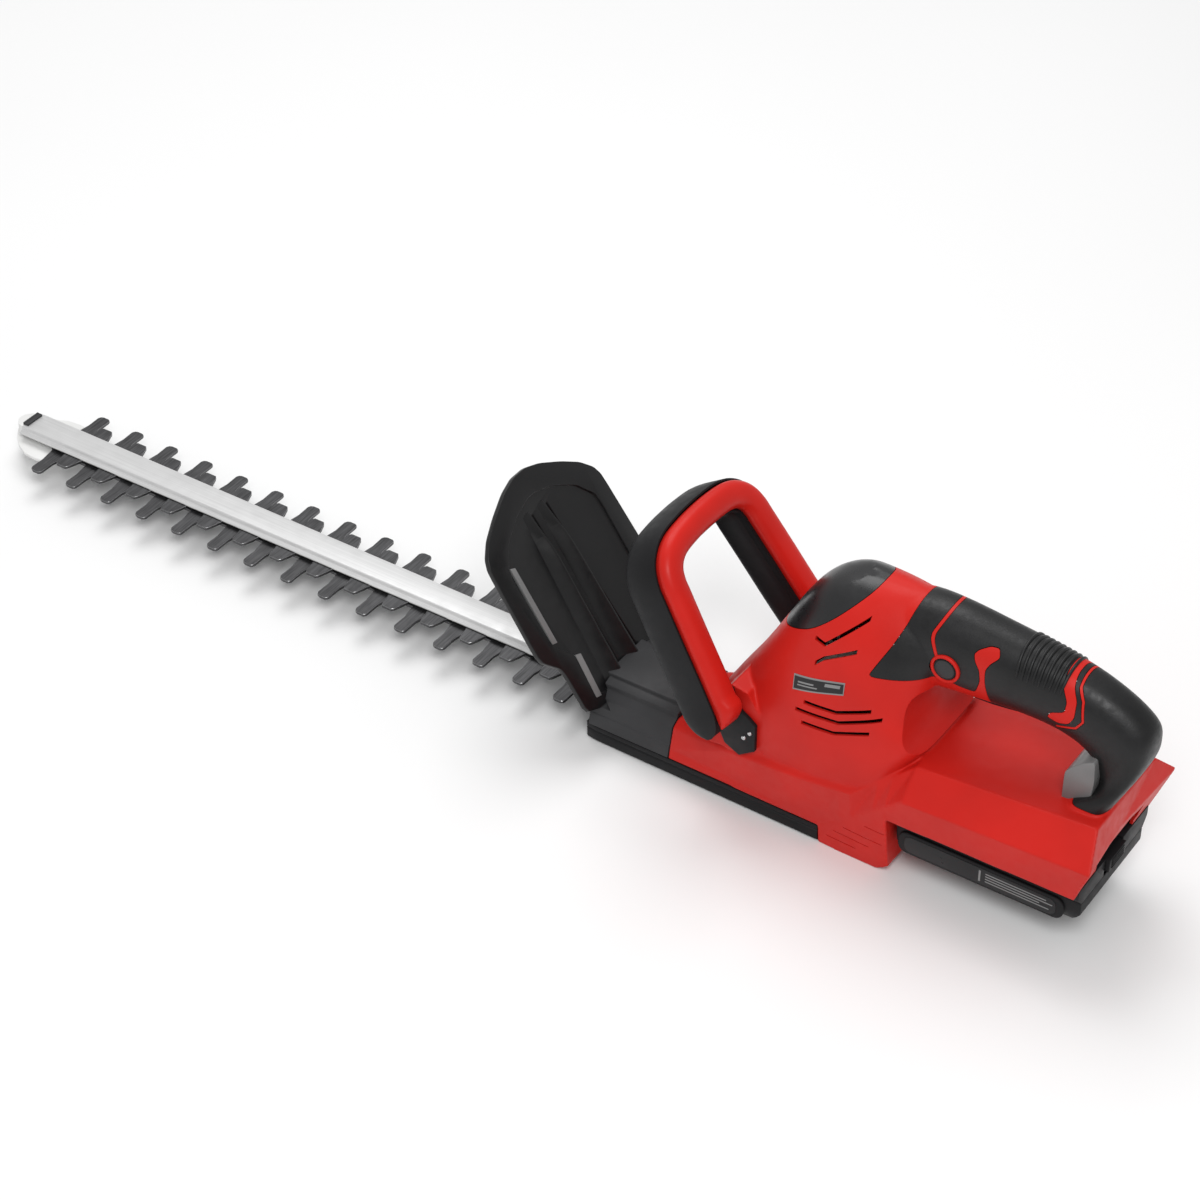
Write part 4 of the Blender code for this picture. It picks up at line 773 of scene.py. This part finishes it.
# ---- blades, bar and nose ----
TOOTH_PITCH, TOOTH_PAIRS = 30.0, 15
BLADE_THICKNESS = 1.9
LONG_TOOTH = [(6.0, 12.2), (4.3, 23.2), (4.6, 33.0), (3.6, 34.9), (1.7, 35.8), (-2.4, 35.8), (-3.8, 35.0),
              (-4.4, 33.6), (-4.5, 23.3), (-6.0, 17.0), (-5.6, 12.0)]
SHORT_TOOTH = [(-5.4, 11.0), (-6.8, 17.0), (-7.7, 22.4), (-9.0, 23.8), (-16.0, 23.8), (-17.5, 21.9),
               (-19.6, 16.3), (-21.0, 11.0)]
BOLT_PLACES = [-45.0, -225.0, -405.0]
BOLT_SLOT_HALF, BOLT_SLOT_RADIUS = 7.9, 2.6
GEAR_X = -564.0
YOKE_HALF_LENGTH, YOKE_HALF_WIDTH, YOKE_BORDER = 11.9, 17.0, 16.0


def blade_loop(teeth):
    """One blade's outline: nose, two rows of teeth, tail and yoke."""
    half = [(10.0, 0.0), (10.0, 7.0), (7.0, 11.0)]
    for number in range(TOOTH_PAIRS):
        half += [(x - number * TOOTH_PITCH, y) for x, y in teeth]
    half += [(GEAR_X + YOKE_BORDER, 12.0), (GEAR_X + YOKE_BORDER, 22.0), (GEAR_X - YOKE_BORDER, 22.0)]
    return both_edges(half)


def make_blades():
    """Both blades, with ground edges on every tooth."""
    holes = [arc((x + BOLT_SLOT_HALF, 0.0), BOLT_SLOT_RADIUS, -90, 90, 8)
             + arc((x - BOLT_SLOT_HALF, 0.0), BOLT_SLOT_RADIUS, 90, 270, 8) for x in BOLT_PLACES]
    holes.append([(GEAR_X + along * YOKE_HALF_LENGTH, across * YOKE_HALF_WIDTH)
                  for along, across in ((1, -1), (1, 1), (-1, 1), (-1, -1))])
    for name, teeth, low in (("lower_blade", LONG_TOOTH, -BLADE_THICKNESS), ("upper_blade", SHORT_TOOTH, 0.3)):
        bm = prism([blade_loop(teeth)] + holes, low, low + BLADE_THICKNESS)
        blade = show(bm, name + "_ground", name, [TOOTH, EDGE], (name,), smooth=25.0)
        bevelled(blade, 0.75, 1, 60.0, material=1)
        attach(blade, name)


def make_bar():
    """The satin support bar with fine ridges along both edges, and its pale nose."""
    half = [(12.5, 2.6), (12.5, 3.2), (11.9, 3.8), (11.6, 3.6), (11.1, 4.1), (10.8, 3.9), (10.2, 4.5), (9.9, 4.4),
            (9.4, 5.2), (9.2, 6.2), (8.6, 6.75), (7.4, 7.0)]
    show(cross_prism(both_sides(half), -533.5, 34.0), "support_bar", "housing", BAR, ("blade_bar",),
         smooth=30.0, bevel=0.12)
    plate = [(2.0, 21.5), (12.0, 23.0), (22.0, 22.0), (31.0, 17.5), (38.0, 11.5), (44.2, 3.4), (NOSE_REACH, 0.0)]
    core = [(34.6, 8.4), (39.6, 7.2), (43.0, 3.0), (43.6, 0.0)]
    cover = merged(prism([both_edges(plate)], -4.6, -2.4), prism([both_edges(core)], -2.6, 5.7))
    show(cover, "nose_guard", "housing", PALE, ("nose_cover",), bevel=0.5, segments=3)
    clip = merged(box((30.2, -7.0, 7.0), (34.0, 7.4, 8.4)), box((33.2, -7.0, 3.0), (34.6, 7.4, 8.6)))
    show(clip, "nose_clip_plate", "housing", GREY, ("nose_clip",), bevel=0.3)


make_blades()
make_bar()


# ---- guard ----
GUARD_FOOT_X = -460.6
GUARD_LEAN = math.radians(35.35)
GUARD_HALF = [(48.0, 12.5), (48.0, 47.0), (58.5, 58.0), (60.0, 64.0), (58.0, 122.0), (55.0, 129.0),
              (47.0, 137.0), (34.0, 145.0), (18.0, 153.0), (6.0, 156.5)]
PANEL_HALF = [(34.0, 18.0), (34.0, 50.0), (45.5, 61.0), (46.0, 114.0), (34.5, 128.0), (18.0, 137.0), (4.0, 141.0)]
GUARD_THICKNESS, PANEL_DEPTH, RIB_GROOVE_DEPTH = 3.5, 1.7, 2.7
# Each rib's place across the panel at its foot and at its top, and how far up it starts and ends.
GUARD_RIBS = [(11.5, 8.5), (-8.0, -6.0)]
RIB_FOOT, RIB_TOP, RIB_HEIGHT = 19.5, 134.0, 5.6
# The pale strips along the panel's left edge: painted highlight standing for the lit side wall of the panel's
# recess.
GUARD_HIGHLIGHT_STRIPS = {"upper": [(41.4, 62.0), (45.4, 63.0), (44.2, 115.5), (40.6, 114.0)],
                "lower": [(32.0, 18.5), (36.4, 19.5), (34.2, 48.5), (29.8, 47.0)]}


def guard_plane():
    """The guard's own axes: across, up its lean, and forwards through its thickness."""
    up = Vector((math.sin(GUARD_LEAN), 0.0, math.cos(GUARD_LEAN)))
    front = Vector((math.cos(GUARD_LEAN), 0.0, -math.sin(GUARD_LEAN)))
    side = up.cross(front)
    return Matrix(((side.x, up.x, front.x, GUARD_FOOT_X), (side.y, up.y, front.y, 0.0),
                   (side.z, up.z, front.z, 0.0), (0, 0, 0, 1)))


def guard_rib(y_foot, y_top):
    """A long sawtooth rib on the panel: a slope on its left, a steep wall on its right, fading out at its top."""
    rings = []
    steps, foot_width, taper = 14, 11.0, 5.0
    seat = PANEL_DEPTH + 0.2
    for i in range(steps + 1):
        t = i / steps
        y = y_foot + (y_top - y_foot) * t
        up = RIB_FOOT + (RIB_TOP - RIB_FOOT) * t
        crest = PANEL_DEPTH - RIB_HEIGHT * min(1.0, 4 * (1 - t) + 0.05)
        rings.append([(y - 1.2, up, seat), (y - 0.4, up, crest), (y + 1.0, up, crest),
                      (y + foot_width - taper * t, up, seat)])
    bm = loft(rings)
    bmesh.ops.transform(bm, matrix=guard_plane(), verts=bm.verts)
    return bm


def make_guard():
    """The hand guard: a dished shield with a raised rim, long ribs and two pale edge strips of painted highlight
    on the recess's lit left wall.
    """
    plane = guard_plane()
    shield = prism([rounded(both_sides(GUARD_HALF), 2, 0.12)], 0.0, GUARD_THICKNESS, plane)
    guard = as_object(shield, "hand_guard", GUARD_BLACK)
    carve(guard, prism([rounded(both_sides(PANEL_HALF), 2, 0.1)], -2.0, PANEL_DEPTH, plane))
    for y_foot, y_top in GUARD_RIBS:
        groove = [(y_foot - 7.0, 20.0), (y_foot - 1.0, 20.0), (y_top - 0.5, 131.0), (y_top - 3.0, 131.0)]
        carve(guard, prism([groove], 0.0, RIB_GROOVE_DEPTH, plane))
    bevelled(guard, 0.6, 3, 40.0)
    finished(guard, "housing", ("blade_guard",), smooth=50.0)
    for number, places in enumerate(GUARD_RIBS):
        show(guard_rib(*places), f"guard_rib_{number + 1}", "housing", GUARD_BLACK, bevel=0.35)
    # The pale strips are painted highlight: the recess's lit left wall shown in a paler colour, with none on the
    # shaded right wall.
    for name, strip in GUARD_HIGHLIGHT_STRIPS.items():
        show(prism([strip], -0.5, PANEL_DEPTH + 0.1, plane), f"guard_highlight_strip_{name}", "housing",
             GUARD_PAINTED_HIGHLIGHT, bevel=0.2)


make_guard()


# ---- front plate and sole ----
def make_base():
    """The stepped plate above the blade root and the sole tray under it."""
    steps = [(36.0, -7.7), (34.9, -2.0), (34.2, 0.6), (33.6, 1.0), (31.3, 12.2), (30.9, 12.9), (26.0, 15.6),
             (25.4, 16.4), (25.2, 18.2), (24.6, 18.7), (19.4, 19.6), (19.0, 20.2), (18.8, 21.4), (18.2, 21.9)]
    plate = as_object(cross_prism(both_sides(steps), -499.6, -443.0), "front_plate_block", GREY)
    lean = math.tan(GUARD_LEAN)
    guard_side = [(GUARD_FOOT_X + lean * z - 0.4, z) for z in (6.0, 40.0)] + [(-420.0, 40.0), (-420.0, 6.0)]
    bar_channel = box((-510.0, -14.0, -3.6), (-430.0, 14.0, 8.3))
    blade_channel = box((-460.0, -27.0, -3.7), (-430.0, 27.0, 3.5))
    carve(plate, through(guard_side), bar_channel, blade_channel)
    bevelled(plate, 0.45)
    finished(plate, "housing", ("front_plate",), smooth=40.0)
    rings = []
    for x, half in ((-441.0, 34.2), (-442.2, 35.2), (-449.0, 36.0), (-604.0, 37.2)):
        ring = [(half - 1.6, SOLE_LOW), (half, -18.4), (half, -12.4), (half - 0.7, -12.0), (half - 0.7, -11.2),
                (half, -10.8), (half, -8.0)]
        rings.append([(x, y, z) for y, z in both_sides(ring)])
    sole = as_object(loft(rings), "sole_tray", BLACK)
    carve(sole, box((-601.0, -33.0, -17.0), (-452.0, 33.0, 0.0)))
    bevelled(sole, 0.35)
    finished(sole, "housing", ("base_sole",), smooth=40.0)


make_base()


# ---- front handle ----
HANDLE_FOOT_X = -591.8
HANDLE_LEAN = math.radians(33.44)
# The left half of the loop's middle line above its foot, in (across, up); the legs' feet lie on a line that
# leans in by FOOT_TAPER from FOOT_SPREAD.
HANDLE_PATH = [(53.2, 76.0), (50.2, 100.0), (47.4, 126.0), (44.6, 150.0), (43.6, 158.0), (40.5, 165.5),
               (34.5, 171.0), (26.0, 174.3), (13.0, 175.8)]
HANDLE_TOP = (0.0, 176.2)
FOOT_SPREAD, FOOT_TAPER = 57.4, 0.05
CHANNEL_FOOT, BAR_FOOT = 66.0, 70.0
FOOT_ROUNDING = 15.0


def handle_point(across, up, forward):
    """A point from the handle's own axes."""
    s, c = math.sin(HANDLE_LEAN), math.cos(HANDLE_LEAN)
    return (HANDLE_FOOT_X + up * s + forward * c, across, up * c - forward * s)


def handle_sweep(section, foot, middle, flare=0.0):
    """A section of (outward, forward) points carried round the loop from a foot's height.

    Each foot closes round, its depth shrinking about middle; flare makes it bulge before it closes.
    """
    half = [(FOOT_SPREAD - FOOT_TAPER * foot, foot)] + HANDLE_PATH
    line = spline_rows(half + [HANDLE_TOP] + [(-a, u) for a, u in reversed(half)], 7)
    rings = []
    last = len(line) - 1
    for i, (a, u) in enumerate(line):
        before, after = line[max(i - 1, 0)], line[min(i + 1, last)]
        along = Vector((after[0] - before[0], after[1] - before[1])).normalized()
        out = Vector((along.y, -along.x))
        t = max(0.0, 1.0 - (u - foot) / FOOT_ROUNDING)
        depth = math.sqrt(max(0.04, 1.0 - t * t)) * (1.0 + flare * math.sin(math.pi * t))
        rings.append([handle_point(a + out.x * o, u + out.y * o, middle + (f - middle) * depth)
                      for o, f in section])
    return loft(rings)


def make_front_handle():
    """The black channel of the loop and the soft red bar in its open back."""
    outer = rounded([(10.0, 2.0), (10.0, 22.0), (6.0, 27.5), (-6.0, 27.5), (-10.0, 22.0), (-10.0, 2.0)], 2, 0.25)
    recess = [(-8.7, 0.0), (-8.7, 6.6), (8.7, 6.6), (8.7, 0.0)]
    channel = [(10.0, 0.0)] + outer[1:-1] + [(-10.0, 0.0)] + recess
    show(handle_sweep(channel, CHANNEL_FOOT, 12.0), "handle_channel", "housing", BLACK,
         ("front_handle",), smooth=40.0, bevel=0.35, bevel_angle=50.0)
    bar = rounded([(7.4, 2.4), (7.8, -0.8), (8.2, -1.6), (8.2, -4.8), (4.7, -8.8), (-4.7, -8.8),
                   (-8.2, -4.8), (-8.2, -1.6), (-7.8, -0.8), (-7.4, 2.4)], 2, 0.25)
    show(handle_sweep(bar, BAR_FOOT, 1.0, 0.35), "handle_switch_bar", "switch_bar", RED_SMOOTH,
         ("front_switch_bar",), smooth=60.0)


def make_brackets():
    """The black foot brackets under the handle, with their screws' bright heads."""
    inner, outer, arm_outer = 40.2, 43.0, 42.2
    plate = [(-536.5, 45.0), (-537.0, 58.5), (-541.5, 62.4), (-548.0, 62.6), (-558.5, 56.0), (-563.4, 52.0),
             (-563.4, 33.5), (-553.0, 26.0), (-543.0, 31.0)]
    arm = [(-540.5, 60.0), (-536.8, 66.0), (-539.0, 73.0), (-543.5, 75.0), (-547.5, 72.5), (-549.5, 62.0)]
    screws = ((-543.5, 57.5, 2.2), (-556.0, 41.0, 1.8), (-560.0, 46.0, 1.6))
    for side, word in SIDES:
        show(side_plate(arm, side, inner, arm_outer), "foot_bracket_arm_" + word, "housing",
             BLACK, bevel=0.5)
        show(side_plate(plate, side, inner, outer), "foot_bracket_" + word, "housing",
             BLACK, ("handle_bracket_" + word,), bevel=0.5)
        heads = []
        for x, z, radius in screws:
            low, seat, high, top = (side * (outer + rise) for rise in (-0.6, 0.5, 0.8, 1.1))
            heads.append(rod((x, low, z), (x, high, z), radius, 20, radius * 0.7))
            heads.append(rod((x, seat, z), (x, top, z), radius * 0.35, 6))
        show(merged(*heads), "foot_screw_heads_" + word, "housing", STEEL, bevel=0.15)


make_front_handle()
make_brackets()


# ---- controls, web and battery ----
def button_rings(profile, side):
    """Level circles round the lock button's axis, from (radius, distance from the tool's middle) points."""
    return [[(x, side * reach, z) for x, z in arc((BUTTON_X, BUTTON_Z), radius, 0, 352.5, 48)]
            for radius, reach in profile]


def make_controls():
    """Lock button, trigger and the pale web behind the grip."""
    face = 21.4
    cap = [(6.7, face - 6.0), (6.7, face - 0.9), (6.4, face - 0.3), (5.6, face + 0.1), (3.8, face + 0.4),
           (0.6, face + 0.5)]
    collar = [(9.0, 18.8), (9.0, 21.0), (8.7, 21.5), (8.0, 21.8), (7.3, 21.5), (7.0, 21.0), (7.0, 18.8)]
    for side, word in SIDES:
        show(loft(button_rings(cap, side)), "lock_button_cap_" + word, "lock_button", GREY,
             smooth=40.0)
        show(loft(button_rings(collar, side), True), "button_collar_" + word, "housing", RED,
             ("button_ring_" + word,), smooth=30.0)
    pivot = (-724.5, 118.0)
    loop = arc(pivot, 4.6, 60, 250, 12) + [(-716.0, 108.5), (-708.0, 106.4), (-700.0, 105.2), (-692.0, 104.2),
                                           (-684.0, 103.8), (-679.5, 104.0), (-677.5, 104.8), (-676.4, 107.0),
                                           (-676.0, 112.0), (-679.0, 119.6), (-700.0, 120.2)]
    show(side_prism([loop], -6.0, 6.0), "trigger_lever", "trigger", BLACK, ("trigger",),
         bevel=1.2, segments=4, bevel_angle=50.0)
    web = rounded([(-745.0, 68.0), (-745.0, 91.0), (-749.0, 96.5), (-755.0, 102.0), (-762.0, 106.0),
                   (-763.0, 92.0), (-762.0, 80.0), (-760.0, 68.0)], 2, 0.12)
    show(side_prism([web], -19.4, 19.4), "grip_web_insert", "housing", WEB_GREY, ("grip_web",),
         bevel=0.5, segments=3)


BATTERY_REAR, BATTERY_FRONT = -772.0, -655.5
BAY_REAR, BAY_FRONT = -764.0, -657.9


def make_battery_cases():
    """The battery's two case halves: a tray, and a stepped top with its latch recess and terminal slots."""
    half = [(30.0, 2.4), (33.6, 3.2), (36.6, 8.0), (37.5, 13.0), (37.5, 20.0)]
    lower = as_object(cross_prism(both_sides(half), BATTERY_REAR, BATTERY_FRONT), "battery_tray", BLACK)
    corner = [(-780.0, -5.0), (-764.5, -5.0), (-764.5, 1.0), (-772.5, 12.0), (-780.0, 12.0)]
    carve(lower, box((BAY_REAR, -33.6, 4.0), (BAY_FRONT, 33.6, 25.0)),
          rod((-768.0, 0, 8.0), (-768.0, 0, 25.0), 3.4), through(corner))
    bevelled(lower, 0.6, 3)
    finished(lower, "battery", ("battery_lower_case",), smooth=40.0)
    half = [(37.5, 20.3), (41.6, 25.4), (42.4, 27.0), (42.4, 33.0), (22.0, 33.0), (22.0, 37.6), (26.9, 37.9),
            (26.9, 43.0)]
    upper = as_object(cross_prism(both_sides(half), BATTERY_REAR, BATTERY_FRONT), "battery_top", BLACK)
    terminal_slots = merged(*[box((-670.0, y - 1.4, 36.0), (-650.0, y + 1.4, 50.0)) for y in (-12.0, 0.0, 12.0)])
    carve(upper, box((BAY_REAR, -34.0, 19.0), (BAY_FRONT, 34.0, 30.6)),
          box((-790.0, -11.0, 19.0), (-765.0, 11.0, 50.0)), box((-790.0, -60.0, 33.2), (-762.0, 60.0, 50.0)),
          terminal_slots)
    bevelled(upper, 0.5)
    finished(upper, "battery", ("battery_upper_case",), smooth=40.0)


def make_battery_sides():
    """A frame and a blank label on each side of the battery, with plain bars for print."""
    bars = [(38.0, 13.8), (42.0, 11.9), (34.0, 10.0), (40.0, 8.1)]
    for side, word in SIDES:
        show(side_plate(capsule(-762.5, -657.5, 3.2, 18.6, 6.0), side, 37.2, 39.4), "battery_side_frame_" + word,
             "battery", BLACK, bevel=0.8, segments=3)
        show(side_plate(capsule(-758.0, -662.0, 5.2, 16.8, 4.5), side, 39.0, 39.8), "battery_side_label_" + word,
             "battery", LABEL, bevel=0.2)
        marks = [box_at_side(side, (-711.0, 39.5, 7.2), (-709.8, 39.95, 15.2))]
        marks += [box_at_side(side, (-714.0 - length, 39.5, z), (-714.0, 39.9, z + 0.7)) for length, z in bars]
        show(merged(*marks), "battery_label_marks_" + word, "battery", BORDER)


def make_battery_latch():
    """The latch button with four raised lines."""
    lines = [box((-775.1, -7.5, 25.0 + 1.9 * i), (-774.3, 7.5, 26.0 + 1.9 * i)) for i in range(4)]
    show(merged(box((-774.5, -10.0, 23.6), (-766.0, 10.0, 32.6)), *lines), "battery_latch_button", "latch",
         BLACK, ("battery_latch",), bevel=0.35)


def capsule(x_low, x_high, z_low, z_high, radius):
    """A rounded rectangle in side view."""
    corners = ((x_high - radius, z_high - radius), (x_low + radius, z_high - radius),
               (x_low + radius, z_low + radius), (x_high - radius, z_low + radius))
    return [point for i, corner in enumerate(corners) for point in arc(corner, radius, 90 * i, 90 * (i + 1), 8)]


make_controls()
make_battery_cases()
make_battery_sides()
make_battery_latch()


# ---- materials of the CAD pieces that stay ----
def dress_cad():
    """Give every carried-over CAD piece its procedural material."""
    special = {"motor_fan": NYLON}
    slots = {entry["node"]: entry["material_slot"] for entry in frame["record"]["subparts"]}
    for name, obj in frame["nodes"].items():
        material = special.get(name, SLOT_MATERIAL[slots[name]])
        if not obj.material_slots:
            obj.data.materials.append(material)
        for place in obj.material_slots:
            place.material = material


dress_cad()


# ---- floor, light and camera ----
def make_stage():
    """A flat pale floor and an even white surround."""
    bm = bmesh.new()
    bmesh.ops.create_grid(bm, x_segments=2, y_segments=2, size=6.0)
    mesh = bpy.data.meshes.new("floor")
    bm.to_mesh(mesh)
    bm.free()
    floor = linked("floor", mesh)
    made = Shader("pale_floor", (0.86, 0.86, 0.86), 0.6)
    made.colours(made.noise(900.0, 2.0), (0.85, 0.85, 0.85), (0.87, 0.87, 0.87))
    mesh.materials.append(made.material)
    world = bpy.data.worlds.new("studio")
    world.use_nodes = True
    background = world.node_tree.nodes["Background"].inputs
    background["Color"].default_value = (1.0, 1.0, 1.0, 1.0)
    background["Strength"].default_value = 0.52
    bpy.context.scene.world = world


def area_light(name, place, target, size, power):
    """A soft square light aimed at a point."""
    data = bpy.data.lights.new(name, "AREA")
    data.shape = "SQUARE"
    data.size = size
    data.energy = power
    light = linked(name, data)
    light.location = place
    light.rotation_euler = (Vector(target) - Vector(place)).to_track_quat("-Z", "Y").to_euler()


def make_lights():
    """A key from above the left and a broad top light from the front."""
    area_light("key", (-1.0, 1.3, 2.0), (-0.15, 0.0, 0.05), 0.9, 27.0)
    area_light("top", (0.6, -0.7, 2.1), (0.0, 0.0, 0.0), 1.5, 25.0)


def make_camera():
    """The view over the tool's left shoulder, from behind."""
    data = bpy.data.cameras.new("camera")
    data.sensor_width = 36.0
    data.lens = 94.33
    data.clip_start, data.clip_end = 0.05, 50.0
    camera = linked("camera", data)
    forward = Vector((0.4376, -0.6454, -0.6261)).normalized()
    right = Vector((-0.8294, -0.5586, -0.0038))
    right = (right - forward * right.dot(forward)).normalized()
    up = (-forward).cross(right)
    turn = Matrix((right, up, -forward)).transposed()
    camera.matrix_world = Matrix.Translation(TO_WORLD @ Vector((-1251.3, 1215.0, 1235.2))) @ turn.to_4x4()
    bpy.context.scene.camera = camera


make_stage()
make_lights()
make_camera()
bpy.context.scene.view_settings.view_transform = "Standard"
